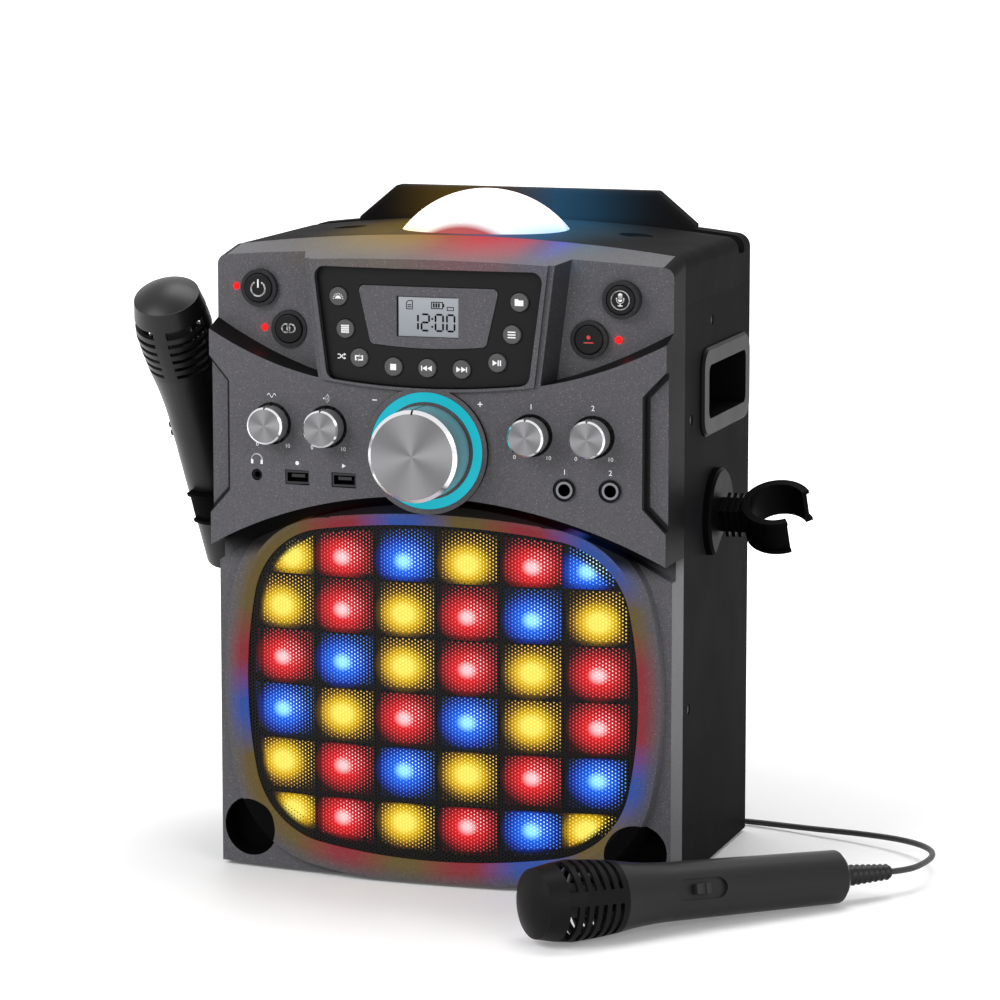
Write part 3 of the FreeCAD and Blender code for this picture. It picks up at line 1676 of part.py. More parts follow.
handle, capsule, basket, cap = mic_body(), mic_capsule(), mic_basket(), mic_cap()
shapes["holder_mic_body"] = Part.makeCompound([in_holder(handle), in_holder(capsule)])
shapes["holder_mic_head"] = Part.makeCompound([in_holder(basket), in_holder(cap)])
shapes["holder_mic_switch"] = in_holder(mic_switch())
laid = [on_floor(piece) for piece in (handle, capsule, strain_relief())]
shapes["floor_mic_body"] = Part.makeCompound(laid)
shapes["floor_mic_head"] = Part.makeCompound([on_floor(basket), on_floor(cap)])
shapes["floor_mic_switch"] = on_floor(mic_switch())

turns, coil_end = coil_wire()
print_coil_gap(turns)
shapes["mic_cord_coil"] = tube(turns, "coil")
lead = tube(run_path(cord_route(), "cord"), "cord")
tail_lead = tube(run_path(cord_tail_route(coil_end), "cord tail"), "cord tail")
shapes["mic_cord"] = Part.makeCompound([lead, tail_lead])
shapes["mic_plug"] = mic_plug()

for name, shape in shapes.items():
    shape.exportStep("parts/" + name + ".step")
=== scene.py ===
import math
import bmesh
import bpy
from mathutils import Matrix, Vector


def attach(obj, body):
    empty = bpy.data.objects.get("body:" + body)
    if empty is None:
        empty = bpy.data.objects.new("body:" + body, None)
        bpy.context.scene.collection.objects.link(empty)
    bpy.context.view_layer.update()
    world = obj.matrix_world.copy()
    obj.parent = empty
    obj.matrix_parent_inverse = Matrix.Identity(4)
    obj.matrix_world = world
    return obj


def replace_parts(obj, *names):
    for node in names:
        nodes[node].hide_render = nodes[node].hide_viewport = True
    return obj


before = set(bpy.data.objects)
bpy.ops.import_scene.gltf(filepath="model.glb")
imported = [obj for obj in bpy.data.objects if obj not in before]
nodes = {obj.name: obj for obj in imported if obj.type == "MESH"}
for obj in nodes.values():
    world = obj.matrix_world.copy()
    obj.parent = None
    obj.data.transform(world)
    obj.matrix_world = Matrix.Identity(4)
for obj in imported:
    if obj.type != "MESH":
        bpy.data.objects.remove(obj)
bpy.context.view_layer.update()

MM = 0.001
scene = bpy.context.scene

# Sizes that the solids were made to, in millimetres
FRONT_RADIUS = 700.0
CONTROL_CREST = -125.0
PANEL_CREST = -123.0
GRILLE_CREST = -111.4
BARREL_CENTRE = 108.7
BARREL_HALF_WIDTH = 117.0
BARREL_HALF_HEIGHT = 97.0
BARREL_SIDE_RADIUS = 260.0
BARREL_TOP_RADIUS = 440.0
BARREL_CORNER_RADIUS = 50.0
CELL_COUNT = 6
CELL_PITCH_X = 37.0
CELL_PITCH_Z = 32.204
CELL_WALL = 2.0
FLOOR_LEVEL = -2.0
MASTER_HEIGHT = 250.4
KNOB_HEIGHT = 261.0
KNOB_PLACES = (-94.7, -60.1, 60.1, 94.7)
SOCKET_HEIGHT = 231.0
PHONE_PLACE = -104.5
USB_PLACES = (-78.9, -50.0)
JACK_PLACES = (79.0, 104.5)
DISPLAY_CENTRE = 325.2
DISPLAY_FACE = -122.663
DISPLAY_WIDTH = 35.8
DISPLAY_HEIGHT = 22.2
DOME_Y = -16.0
DOME_RADIUS = 54.0
LENS_RING = 20.0
LENS_RADIUS = 13.0
ROUND_FACE = -107.0
MASTER_RADIUS = 26.0
KNOB_RADIUS = 10.5
PORT_PLACE = (116.0, 22.0)
PORT_RADIUS = 17.0
LAMP_KINDS = 3


def bulge_y(crest, x):
    """Depth of a bulged front surface at x, in millimetres."""
    return crest + FRONT_RADIUS - math.sqrt(FRONT_RADIUS ** 2 - x ** 2)


def cell_centre(column, row):
    middle = (CELL_COUNT - 1) / 2
    return (column - middle) * CELL_PITCH_X, BARREL_CENTRE + (middle - row) * CELL_PITCH_Z


def barrel_corner_place():
    """Centre of the corner arc, which touches the side arc and the top arc from inside."""
    a = BARREL_SIDE_RADIUS - BARREL_CORNER_RADIUS
    b = BARREL_TOP_RADIUS - BARREL_CORNER_RADIUS
    side = Vector((BARREL_HALF_WIDTH - BARREL_SIDE_RADIUS, 0))
    lid = Vector((0, BARREL_HALF_HEIGHT - BARREL_TOP_RADIUS))
    span = (lid - side).length
    along = (a * a - b * b + span * span) / (2 * span)
    off = math.sqrt(a * a - along * along)
    out = (lid - side) / span
    return side + out * along + Vector((-out.y, out.x)) * off


CORNER_PLACE = barrel_corner_place()


# Shader helpers

class Number:
    """A number in a shader tree; arithmetic and comparison with it add maths nodes."""

    def __init__(self, tree, socket):
        self.tree = tree
        self.socket = socket

    def of(self, operation, other=0.0):
        return maths(self.tree, operation, self, other)

    def __add__(self, other):
        return self.of("ADD", other)

    def __sub__(self, other):
        return self.of("SUBTRACT", other)

    def __rsub__(self, other):
        return maths(self.tree, "SUBTRACT", other, self)

    def __mul__(self, other):
        return self.of("MULTIPLY", other)

    def __truediv__(self, other):
        return self.of("DIVIDE", other)

    def __mod__(self, other):
        return self.of("MODULO", other)

    def __pow__(self, other):
        return self.of("POWER", other)

    def __abs__(self):
        return self.of("ABSOLUTE")

    def __lt__(self, other):
        return self.of("LESS_THAN", other)

    def __gt__(self, other):
        return self.of("GREATER_THAN", other)


def add(tree, kind, **values):
    made = tree.nodes.new(kind)
    for key, value in values.items():
        setattr(made, key, value)
    return made


def feed(tree, socket, value):
    """Links a socket to a number or another socket, or sets its value."""
    if isinstance(value, Number):
        value = value.socket
    if isinstance(value, bpy.types.NodeSocket):
        tree.links.new(value, socket)
    else:
        socket.default_value = value


def maths(tree, operation, a, b):
    made = add(tree, "ShaderNodeMath", operation=operation)
    feed(tree, made.inputs[0], a)
    feed(tree, made.inputs[1], b)
    return Number(tree, made.outputs[0])


def highest(first, *others):
    for other in others:
        first = first.of("MAXIMUM", other)
    return first


def lowest(first, *others):
    for other in others:
        first = first.of("MINIMUM", other)
    return first


def mix_colour(share, a, b):
    made = add(share.tree, "ShaderNodeMix", data_type="RGBA")
    for index, value in ((0, share), (6, a), (7, b)):
        feed(share.tree, made.inputs[index], value)
    return made.outputs[2]


def mix_value(share, a, b):
    made = add(share.tree, "ShaderNodeMix", data_type="FLOAT")
    for index, value in ((0, share), (2, a), (3, b)):
        feed(share.tree, made.inputs[index], value)
    return Number(share.tree, made.outputs[0])


def ramp(share, *stops):
    """Colour ramp from (place, colour) stops."""
    made = add(share.tree, "ShaderNodeValToRGB")
    elements = made.color_ramp.elements
    while len(elements) < len(stops):
        elements.new(0.5)
    for element, (place, colour) in zip(elements, stops):
        element.position = place
        element.color = (*colour, 1)
    feed(share.tree, made.inputs[0], share)
    return made.outputs[0]


def smooth_step(value, low, high):
    """Goes from 0 at the low value to 1 at the high one."""
    made = add(value.tree, "ShaderNodeMapRange", interpolation_type="SMOOTHSTEP")
    feed(value.tree, made.inputs["Value"], value)
    made.inputs["From Min"].default_value = low
    made.inputs["From Max"].default_value = high
    return Number(value.tree, made.outputs["Result"])


def rises(value, limits):
    """Goes from 0 at the first limit to 1 at the second one, both in millimetres."""
    return smooth_step(value, limits[0] * MM, limits[1] * MM)


def object_place(tree):
    return add(tree, "ShaderNodeTexCoord").outputs["Object"]


def parts(tree, vector):
    """X, Y and Z of a vector."""
    made = add(tree, "ShaderNodeSeparateXYZ")
    feed(tree, made.inputs[0], vector)
    return [Number(tree, socket) for socket in made.outputs]


def place_parts(tree):
    return parts(tree, object_place(tree))


def facing_parts(tree):
    return parts(tree, add(tree, "ShaderNodeTexCoord").outputs["Normal"])


def distance_from(tree, centre, weights):
    """Distance in metres from a centre in millimetres, with a weight for each axis."""
    apart = add(tree, "ShaderNodeVectorMath", operation="MULTIPLY_ADD")
    feed(tree, apart.inputs[0], object_place(tree))
    apart.inputs[1].default_value = weights
    apart.inputs[2].default_value = Vector(centre) * -MM
    away = add(tree, "ShaderNodeVectorMath", operation="LENGTH")
    feed(tree, away.inputs[0], apart.outputs[0])
    return Number(tree, away.outputs["Value"])


def away_from_axis(tree, x, z):
    """Distance in metres from the line along Y through x and z."""
    return distance_from(tree, (x, 0, z), (1, 0, 1))


def ray(tree, kind):
    """One for rays of a kind."""
    return Number(tree, add(tree, "ShaderNodeLightPath").outputs["Is %s Ray" % kind])


def noise(tree, place, scale, detail):
    made = add(tree, "ShaderNodeTexNoise")
    feed(tree, made.inputs["Vector"], place)
    feed(tree, made.inputs["Scale"], scale)
    feed(tree, made.inputs["Detail"], detail)
    return Number(tree, made.outputs["Fac"])


# Groups of nodes that several finishes share

COLUMN_SQUEEZE = -0.02
ROW_SQUEEZE = 0.06
CORNER_LAMP_SHIFT = (0.17, 0.04)
LAMPS_BEFORE_SLIP = 8


def new_group(name, inputs, outputs):
    """An empty group; an input without a value is a vector."""
    tree = bpy.data.node_groups.new(name, "ShaderNodeTree")
    for label, value in inputs.items():
        kind = "NodeSocketVector" if value is None else "NodeSocketFloat"
        socket = tree.interface.new_socket(label, in_out="INPUT", socket_type=kind)
        if value is not None:
            socket.default_value = value
    for label in outputs:
        tree.interface.new_socket(label, in_out="OUTPUT", socket_type="NodeSocketFloat")
    given = {socket.name: Number(tree, socket) for socket in add(tree, "NodeGroupInput").outputs}
    return tree, given, add(tree, "NodeGroupOutput").inputs


def use_group(tree, group, **values):
    made = add(tree, "ShaderNodeGroup", node_tree=group)
    for label, value in values.items():
        feed(tree, made.inputs[label], value)
    return {socket.name: Number(tree, socket) for socket in made.outputs}


def moulded_grain_group():
    """Fine pebbled grain of a moulding, with slow changes of shade and gloss."""
    tree, given, out = new_group("moulded_grain", {"Scale": 900.0}, ["Height", "Shade", "Gloss"])
    place = object_place(tree)
    fine = noise(tree, place, given["Scale"], 2.0)
    coarse = noise(tree, place, given["Scale"] / 3.0, 1.0)
    feed(tree, out["Height"], fine + coarse)
    feed(tree, out["Shade"], noise(tree, place, 14.0, 3.0))
    feed(tree, out["Gloss"], noise(tree, place, 33.0, 4.0))
    return tree


def metal_flake_group():
    """Sparse bright specks in a lacquered plastic."""
    tree, given, out = new_group("metal_flake", {"Scale": 1500.0, "Share": 0.9}, ["Speck", "Shimmer"])
    cells = add(tree, "ShaderNodeTexVoronoi")
    feed(tree, cells.inputs["Vector"], object_place(tree))
    feed(tree, cells.inputs["Scale"], given["Scale"])
    split = add(tree, "ShaderNodeSeparateColor")
    feed(tree, split.inputs[0], cells.outputs["Color"])
    rare, bright, shimmer = (Number(tree, socket) for socket in split.outputs)
    core = Number(tree, cells.outputs["Distance"]) < 0.45
    feed(tree, out["Speck"], (rare > given["Share"]) * core * bright)
    feed(tree, out["Shimmer"], shimmer)
    return tree


def turned_rings_group():
    """Concentric tool marks about the Y axis through the given place."""
    tree, given, out = new_group("turned_rings", {"Place": None, "Scale": 5200.0}, ["Height"])
    x, y, z = parts(tree, given["Place"])
    marks = add(tree, "ShaderNodeTexNoise", noise_dimensions="1D")
    feed(tree, marks.inputs["W"], (x ** 2.0 + z ** 2.0).of("SQRT"))
    feed(tree, marks.inputs["Scale"], given["Scale"])
    feed(tree, marks.inputs["Detail"], 3.0)
    feed(tree, out["Height"], marks.outputs["Fac"])
    return tree


def barrel_reach_group():
    """How far a place lies outside the barrel-shaped opening, in millimetres."""
    tree, given, out = new_group("barrel_reach", {}, ["Reach"])
    x, y, z = place_parts(tree)
    x = abs(x / MM)
    z = abs(z / MM - BARREL_CENTRE)

    def outside(x_centre, z_centre, radius):
        return (abs(x - x_centre) ** 2.0 + abs(z - z_centre) ** 2.0).of("SQRT") - radius

    side = outside(BARREL_HALF_WIDTH - BARREL_SIDE_RADIUS, 0.0, BARREL_SIDE_RADIUS)
    lid = outside(0.0, BARREL_HALF_HEIGHT - BARREL_TOP_RADIUS, BARREL_TOP_RADIUS)
    corner = outside(*CORNER_PLACE, BARREL_CORNER_RADIUS)
    in_corner = (x > CORNER_PLACE[0]) * (z > CORNER_PLACE[1])
    feed(tree, out["Reach"], mix_value(in_corner, highest(side, lid), corner))
    return tree


def lamp_field_group():
    """Distance from the nearest lamp behind the grille, in cells, and the number of that lamp's colour."""
    tree, given, out = new_group("lamp_field", {"Place": None}, ["Reach", "Kind"])
    x, y, z = parts(tree, given["Place"])
    middle = (CELL_COUNT - 1) / 2
    numbers, offsets, sides, outers = [], [], [], []
    for value, step, start, squeeze in ((x, CELL_PITCH_X, 0, COLUMN_SQUEEZE),
                                        (z, -CELL_PITCH_Z, BARREL_CENTRE, ROW_SQUEEZE)):
        cells = value / (step * MM) + (CELL_COUNT / 2 - start / step)
        number = lowest(highest(cells.of("FLOOR"), 0.0), CELL_COUNT - 1.0)
        side = number - middle
        numbers.append(number)
        offsets.append(cells - number - 0.5 + side * squeeze)
        sides.append(side.of("SIGN"))
        outers.append(abs(side) > middle - 0.1)
    corner = outers[0] * outers[1]
    squares = [abs(offset + corner * side * shift) ** 2.0
               for offset, side, shift in zip(offsets, sides, CORNER_LAMP_SHIFT)]
    feed(tree, out["Reach"], (squares[0] + squares[1]).of("SQRT"))
    column, row = numbers
    slip = ((row * CELL_COUNT + column) / LAMPS_BEFORE_SLIP).of("FLOOR")
    feed(tree, out["Kind"], (column + slip) % LAMP_KINDS)
    return tree


moulded_grain = moulded_grain_group()
metal_flake = metal_flake_group()
turned_rings = turned_rings_group()
lamp_field = lamp_field_group()
barrel_distance = barrel_reach_group()


# Plastics

CROWN_HEIGHTS = (336.0, 345.0)
POD_HEIGHTS = (280.0, 300.0)
SIDE_STRIP = 129.0
CHEEK_GROOVE = 122.0
CHEEK_TOP = 284.0
CHEEK_BOTTOM = 221.0
CHEEK_SLANT = (0.731, 0.682)
GROOVE_WIDTH = (2.6, 3.6)
STEEP_SHADE = 0.94
POD_SIDE_SHADE = 0.6
STRIP_SHADE = 0.96
GROOVE_SHADE = 0.85
COLLAR_SHADE = 0.72
LINTEL_SHADE = 0.95
ROUND_PLACES = {"power": (-106.8, 336.4), "pairing": (-88.6, 313.7),
                "voice": (106.8, 336.4), "record": (88.6, 313.7)}
ROUND_COLLAR = 10.7
RIM_WIDTH = 6.4
LINTEL_HEIGHTS = (176.0, 191.0)
RIM_GLOW = (2.0, 15.0)
RIM_BLEND = 12.0
RIM_COLOURS = ((0.1, 0.065, 0.004), (0.21, 0.006, 0.012), (0.01, 0.055, 0.3))
SPILL_WIDTH = 280.0
SPILL_NARROW = 0.85
LACQUER_SHEEN = 0.2
GLOW_SHADE = 0.62
FASCIA_COLOUR = (0.068, 0.0655, 0.0725)
SHADE_COLOUR = (0.003, 0.003, 0.003, 1)
FLAKE_COLOUR = (0.5, 0.49, 0.5, 1)


def new_material(name, colour, roughness, metallic=0.0, **sockets):
    """A material with the plain values set on its own shader."""
    made = bpy.data.materials.new(name)
    made.use_nodes = True
    shader = made.node_tree.nodes["Principled BSDF"]
    shader.inputs["Base Color"].default_value = (*colour, 1)
    shader.inputs["Roughness"].default_value = roughness
    shader.inputs["Metallic"].default_value = metallic
    for label, value in sockets.items():
        shader.inputs[label.replace("_", " ")].default_value = value
    return made, made.node_tree, shader.inputs


def scaled(colour, share):
    return (*(min(1, c * share) for c in colour), 1)


def bump(tree, into, height, strength, distance=0.0002, edge=0.0):
    """Relief from a height, over edges that are rounded in the shading by the edge radius."""
    made = add(tree, "ShaderNodeBump")
    made.inputs["Strength"].default_value = strength
    made.inputs["Distance"].default_value = distance
    feed(tree, made.inputs["Height"], height)
    if edge:
        rounded = add(tree, "ShaderNodeBevel", samples=4)
        rounded.inputs["Radius"].default_value = edge
        feed(tree, made.inputs["Normal"], rounded.outputs[0])
    feed(tree, into["Normal"], made.outputs[0])


def surface(tree, into, scale, gloss, relief, edge):
    """Grain of a moulding at a scale: roughness between two values, and relief."""
    grain = use_group(tree, moulded_grain, Scale=scale)
    feed(tree, into["Roughness"], mix_value(grain["Gloss"], *gloss))
    bump(tree, into, grain["Height"], relief, edge=edge)
    return grain


def moulded_plastic(name, colour, roughness, scale, relief, sheen=0.5, edge=0.0004, change=0.25):
    """Moulded plastic with grain, uneven gloss and softened edges."""
    made, tree, into = new_material(name, colour, roughness, Specular_IOR_Level=sheen)
    grain = surface(tree, into, scale, (roughness - 0.07, roughness + 0.07), relief, edge)
    feed(tree, into["Base Color"],
         mix_colour(grain["Shade"], scaled(colour, 1 - change), scaled(colour, 1 + change)))
    return made


def cheek_groove(across, z):
    """One along the edge of the two end cheeks, where a groove goes round them; shade is painted in that
    groove.
    """
    inward = across - CHEEK_GROOVE * MM
    from_end = lowest(CHEEK_TOP * MM - z, z - CHEEK_BOTTOM * MM)
    depth = lowest(inward * CHEEK_SLANT[0] + from_end * CHEEK_SLANT[1], inward)
    return (depth > -0.05 * MM) * (1 - rises(depth, GROOVE_WIDTH))


def control_shade(tree):
    """Painted shade on the control front: walls turned aside, side strips and cheek grooves; the collars
    round the round buttons are darkened too.
    """
    x_facing, y_facing, z_facing = facing_parts(tree)
    x, y, z = place_parts(tree)
    across = abs(x)
    crown = smooth_step(z_facing, 0.4, 0.6) * rises(z, CROWN_HEIGHTS)
    pod_side = smooth_step(abs(x_facing), 0.6, 0.85) * rises(z, POD_HEIGHTS)
    steep = smooth_step(y_facing, -0.72, -0.45) * mix_value(pod_side, STEEP_SHADE, POD_SIDE_SHADE)
    strip = (across > SIDE_STRIP * MM) * smooth_step(y_facing, -0.95, -0.88)
    collars = [away_from_axis(tree, *place) < ROUND_COLLAR * MM for place in ROUND_PLACES.values()]
    return highest(steep * (1 - crown), strip * STRIP_SHADE, cheek_groove(across, z) * GROOVE_SHADE,
                   highest(*collars) * COLLAR_SHADE)


def speaker_shade(tree):
    """Painted shade on the hollow band over the speaker's rim and in the two round recesses at the bottom
    corners.
    """
    x, y, z = place_parts(tree)
    beyond = smooth_step(use_group(tree, barrel_distance)["Reach"], RIM_WIDTH, RIM_WIDTH + 0.6)
    lintel = beyond * rises(z, LINTEL_HEIGHTS) * LINTEL_SHADE
    ports = [away_from_axis(tree, side * PORT_PLACE[0], PORT_PLACE[1]) < (PORT_RADIUS + 0.1) * MM
             for side in (-1, 1)]
    return highest(lintel, *ports)


def by_kind(kind, colours):
    """Picks one of the colours by the number of the lamp's kind."""
    picked = colours[0]
    for number in range(1, LAMP_KINDS):
        picked = mix_colour(kind > number - 0.5, picked, colours[number])
    return picked


def rim_glow(tree):
    """Painted lamp light on the speaker's rim, blended from lamp to lamp along the rim."""
    place = object_place(tree)
    random = add(tree, "ShaderNodeTexWhiteNoise", noise_dimensions="3D")
    feed(tree, random.inputs["Vector"], place)
    jitter = add(tree, "ShaderNodeVectorMath", operation="MULTIPLY_ADD")
    feed(tree, jitter.inputs[0], random.outputs["Color"])
    jitter.inputs[1].default_value = (2 * RIM_BLEND * MM, 0, 2 * RIM_BLEND * MM)
    jitter.inputs[2].default_value = (-RIM_BLEND * MM, 0, -RIM_BLEND * MM)
    moved = add(tree, "ShaderNodeVectorMath", operation="ADD")
    feed(tree, moved.inputs[0], place)
    feed(tree, moved.inputs[1], jitter.outputs[0])
    kind = use_group(tree, lamp_field, Place=moved.outputs[0])["Kind"]
    away = smooth_step(use_group(tree, barrel_distance)["Reach"], *RIM_GLOW)
    return by_kind(kind, [(*colour, 1) for colour in RIM_COLOURS]), 1 - away


def spill(tree, heights, reach, *stops):
    """The dome's light, painted on a surface beside it: starts at a height, fades with distance, changes
    across.
    """
    x, y, z = place_parts(tree)
    to_front = facing_parts(tree)[1] < 0.3
    away = distance_from(tree, (0, DOME_Y, 0), (SPILL_NARROW, 1, 0))
    near = smooth_step(away, reach * MM, DOME_RADIUS * MM)
    stops = [(0.5 + place / SPILL_WIDTH, colour) for place, colour in stops]
    return ramp(x / (SPILL_WIDTH * MM) + 0.5, *stops), rises(z, heights) * near * to_front


def crown_spill(tree):
    return spill(tree, (343.0, 356.0), 132.0, (-95, (0.06, 0.045, 0.01)), (-55, (0.26, 0.17, 0.015)),
                 (-22, (0.3, 0.16, 0.008)), (0, (0.34, 0.05, 0.01)), (15, (0.46, 0.012, 0.018)),
                 (43, (0.45, 0.012, 0.026)), (54, (0.14, 0.03, 0.16)), (64, (0.03, 0.06, 0.55)),
                 (78, (0.01, 0.09, 0.18)), (105, (0.02, 0.04, 0.05)))


def rest_spill(tree):
    return spill(tree, (358.0, 368.0), 112.0, (-105, (0, 0, 0)), (-75, (0.13, 0.075, 0.001)),
                 (-50, (0.15, 0.09, 0.002)), (-15, (0.07, 0.04, 0.01)), (20, (0.014, 0.09, 0.18)),
                 (45, (0.008, 0.07, 0.14)), (75, (0.004, 0.035, 0.06)), (100, (0, 0, 0)))


def glow_on(tree, into, glow, dark=0.0):
    """Adds a painted glow to a shader, less where the painted shade mask is one, and gives back its
    strength.
    """
    colour, strength = glow(tree)
    feed(tree, into["Emission Color"], colour)
    feed(tree, into["Emission Strength"], strength * (1 - dark))
    return strength


def flaked_plastic(name, dark_places=None, glow=None):
    """Lacquered grey plastic with metal flake; painted shade and a painted glow come together."""
    made, tree, into = new_material(name, FASCIA_COLOUR, 0.45, Specular_IOR_Level=LACQUER_SHEEN)
    flake = use_group(tree, metal_flake, Scale=1500.0, Share=0.86)
    fine = use_group(tree, metal_flake, Scale=3400.0, Share=0.7)
    base = mix_colour(flake["Shimmer"], scaled(FASCIA_COLOUR, 0.86), scaled(FASCIA_COLOUR, 1.18))
    base = mix_colour(flake["Speck"] * 0.22 + fine["Speck"] * 0.11, base, FLAKE_COLOUR)
    if dark_places:
        dark = dark_places(tree)
        strength = glow_on(tree, into, glow, dark)
        # Where shade or glow is painted, the lacquer loses its sheen and its base goes towards the shade
        # colour.
        feed(tree, into["Specular IOR Level"], mix_value(highest(dark, strength), LACQUER_SHEEN, 0.01))
        base = mix_colour(highest(dark, strength * GLOW_SHADE), base, SHADE_COLOUR)
    feed(tree, into["Base Color"], base)
    surface(tree, into, 2600.0, (0.4, 0.5), 0.18, 0.0005)
    return made


# Metals

JACK_RING = (3.5, 4.8)
PIN_START = 81.05


def spun_knob_metal(name, x, z, radius, edge):
    """Aluminium knob: spun face with a painted reflection in sectors, bright chamfer, notch at the top and
    satin side.
    """
    made, tree, into = new_material(name, (0.3, 0.3, 0.31), 0.3, 1.0, Anisotropic=0.6)
    centre = add(tree, "ShaderNodeMapping")
    feed(tree, centre.inputs["Vector"], object_place(tree))
    centre.inputs["Location"].default_value = (-x * MM, 0, -z * MM)
    marks = use_group(tree, turned_rings, Place=centre.outputs[0], Scale=5200.0)["Height"]
    across, along, up = parts(tree, centre.outputs[0])
    turn = up.of("ARCTAN2", across)
    # Painted reflection on the face: kept dark, as if it mirrored dark surroundings, and lighter and darker
    # in sectors round the axis.
    wave = (turn * 4.0 + 0.9).of("SINE")
    slow = (turn * 3.0 + 2.0).of("SINE")
    face = mix_colour(wave * 0.32 + slow * 0.14 + marks, (0.115, 0.115, 0.119, 1), (0.2, 0.2, 0.206, 1))
    front = facing_parts(tree)[1] * -1.0
    is_side = front < 0.3
    is_face = front > 0.95
    metal = mix_colour(is_face, (0.8, 0.8, 0.83, 1), face)
    metal = mix_colour(is_side, metal, (0.2, 0.2, 0.205, 1))
    is_notch = (abs(across) < edge * 0.3 * MM) * (up > (radius - edge * 1.25) * MM) * (1 - is_side)
    feed(tree, into["Base Color"], mix_colour(is_notch, metal, (0.02, 0.02, 0.02, 1)))
    feed(tree, into["Metallic"], mix_value(is_side, 1.0, 0.3))
    polish = mix_value(is_face, 0.16, mix_value(marks, 0.3, 0.42))
    feed(tree, into["Roughness"], mix_value(is_side, polish, 0.45))
    about = add(tree, "ShaderNodeTangent", direction_type="RADIAL", axis="Y")
    feed(tree, into["Tangent"], about.outputs[0])
    bump(tree, into, marks, 0.12, distance=0.00005)
    return made


def bright_metal(name, colour, roughness):
    """Plated or pressed metal with faint wipe marks."""
    made, tree, into = new_material(name, colour, roughness, 1.0)
    surface(tree, into, 700.0, (roughness * 0.7, roughness * 1.4), 0.05, 0.0002)
    return made


def jack_material():
    """Plated ring of each microphone jack between its black washer and its dark bore."""
    made, tree, into = new_material("jack ring", (0.5, 0.5, 0.52), 0.2, 1.0)
    rings = []
    for x in JACK_PLACES:
        away = away_from_axis(tree, x, SOCKET_HEIGHT)
        rings.append((away > JACK_RING[0] * MM) * (away < JACK_RING[1] * MM))
    colour = mix_colour(highest(*rings), (0.006, 0.006, 0.0065, 1), (0.13, 0.13, 0.137, 1))
    feed(tree, into["Base Color"], colour)
    surface(tree, into, 700.0, (0.16, 0.3), 0.05, 0.0002)
    return made


def plug_material():
    """Plated pin and black sleeve of the plug, told apart by their place along X."""
    made, tree, into = new_material("plug finish", (0.012, 0.012, 0.012), 0.4)
    is_pin = place_parts(tree)[0] > PIN_START * MM
    grain = use_group(tree, moulded_grain, Scale=900.0)
    feed(tree, into["Base Color"], mix_colour(is_pin, (0.012, 0.012, 0.012, 1), (0.7, 0.69, 0.67, 1)))
    feed(tree, into["Metallic"], is_pin)
    feed(tree, into["Roughness"], mix_value(is_pin, 0.42, mix_value(grain["Gloss"], 0.12, 0.24)))
    bump(tree, into, grain["Height"], 0.1)
    return made


# Lamps, glass and the lit grille

LAMP_LEVEL = 1.5
LAMP_COLOURS = [
    ("yellow", (1.0, 0.86, 0.16), (1.0, 0.7, 0.1), (0.85, 0.48, 0.08)),
    ("red", (1.0, 0.72, 0.74), (1.0, 0.1, 0.1), (0.75, 0.06, 0.06)),
    ("blue", (0.6, 0.93, 1.0), (0.12, 0.42, 1.0), (0.06, 0.18, 0.8)),
]
HAZE_COLOURS = [
    (0.13, (1.0, 0.82, 0.12), (0.68, 0.41, 0.0), (0.1, 0.05, 0.0)),
    (0.05, (1.0, 0.6, 0.62), (0.72, 0.005, 0.01), (0.15, 0.0, 0.002)),
    (0.06, (0.3, 0.85, 1.0), (0.003, 0.11, 0.88), (0.0, 0.012, 0.22)),
]
GRILLE_MARGIN = (-8.0, -3.5)
BLACK = (0.0, 0.0, 0.0)
GLASS_LOW = 313.8
GLASS_RISE = 22.8
DOME_LOW = 364.5
DOME_SPAN = 110.0
HILL_RISE = 9.0
HILL_HALF_WIDTH = 27.0
HILL_DEPTHS = (-30.0, -50.0)
LENS_LEVEL = 353.5


def shown_and_cast(tree, shown, cast):
    """Strength of a glow as the camera shows it, and as it lights what lies round it."""
    return mix_value(ray(tree, "Camera"), cast, shown)


def lit(name, colour, strength, cast):
    """A lamp lens that glows in its own colour, unevenly as a moulded light guide does."""
    made, tree, into = new_material(name, scaled(colour, 0.12)[:3], 0.3, Specular_IOR_Level=0.08)
    feed(tree, into["Emission Strength"], shown_and_cast(tree, strength, cast))
    grain = use_group(tree, moulded_grain, Scale=400.0)
    pale = (*(min(1, c * 1.1 + 0.02) for c in colour), 1)
    feed(tree, into["Emission Color"], mix_colour(grain["Gloss"], scaled(colour, 0.8), pale))
    return made


def light_cell(name, hot, mid, low):
    """Diffuser of one lamp colour, brightest in front of its lamp."""
    made, tree, into = new_material(name, (0.03, 0.03, 0.03), 0.6, Emission_Strength=LAMP_LEVEL)
    reach = use_group(tree, lamp_field, Place=object_place(tree))["Reach"]
    stops = (0.0, hot), (0.12, hot), (0.27, mid), (0.46, low), (0.6, scaled(low, 0.12)[:3])
    feed(tree, into["Emission Color"], ramp(reach, *stops))
    return made


def glowing_grille():
    """Black sheet with the lamps' light painted on its webs: bright cores, coloured haze and dark cell
    edges.
    """
    made, tree, into = new_material("grille painted lamp light", (0.005, 0.005, 0.0055), 0.55, Specular_IOR_Level=0.1,
                                    Emission_Strength=1.0)
    field = use_group(tree, lamp_field, Place=object_place(tree))
    hazes = []
    for core, hot, deep, dim in HAZE_COLOURS:
        stops = (0.0, hot), (core, hot), (core + 0.12, deep), (0.39, dim), (0.5, BLACK)
        hazes.append(ramp(field["Reach"], *stops))
    # The painted light fades to black near the barrel outline.
    margin = smooth_step(use_group(tree, barrel_distance)["Reach"], *GRILLE_MARGIN)
    feed(tree, into["Emission Color"], mix_colour(margin, by_kind(field["Kind"], hazes), (*BLACK, 1)))
    return made


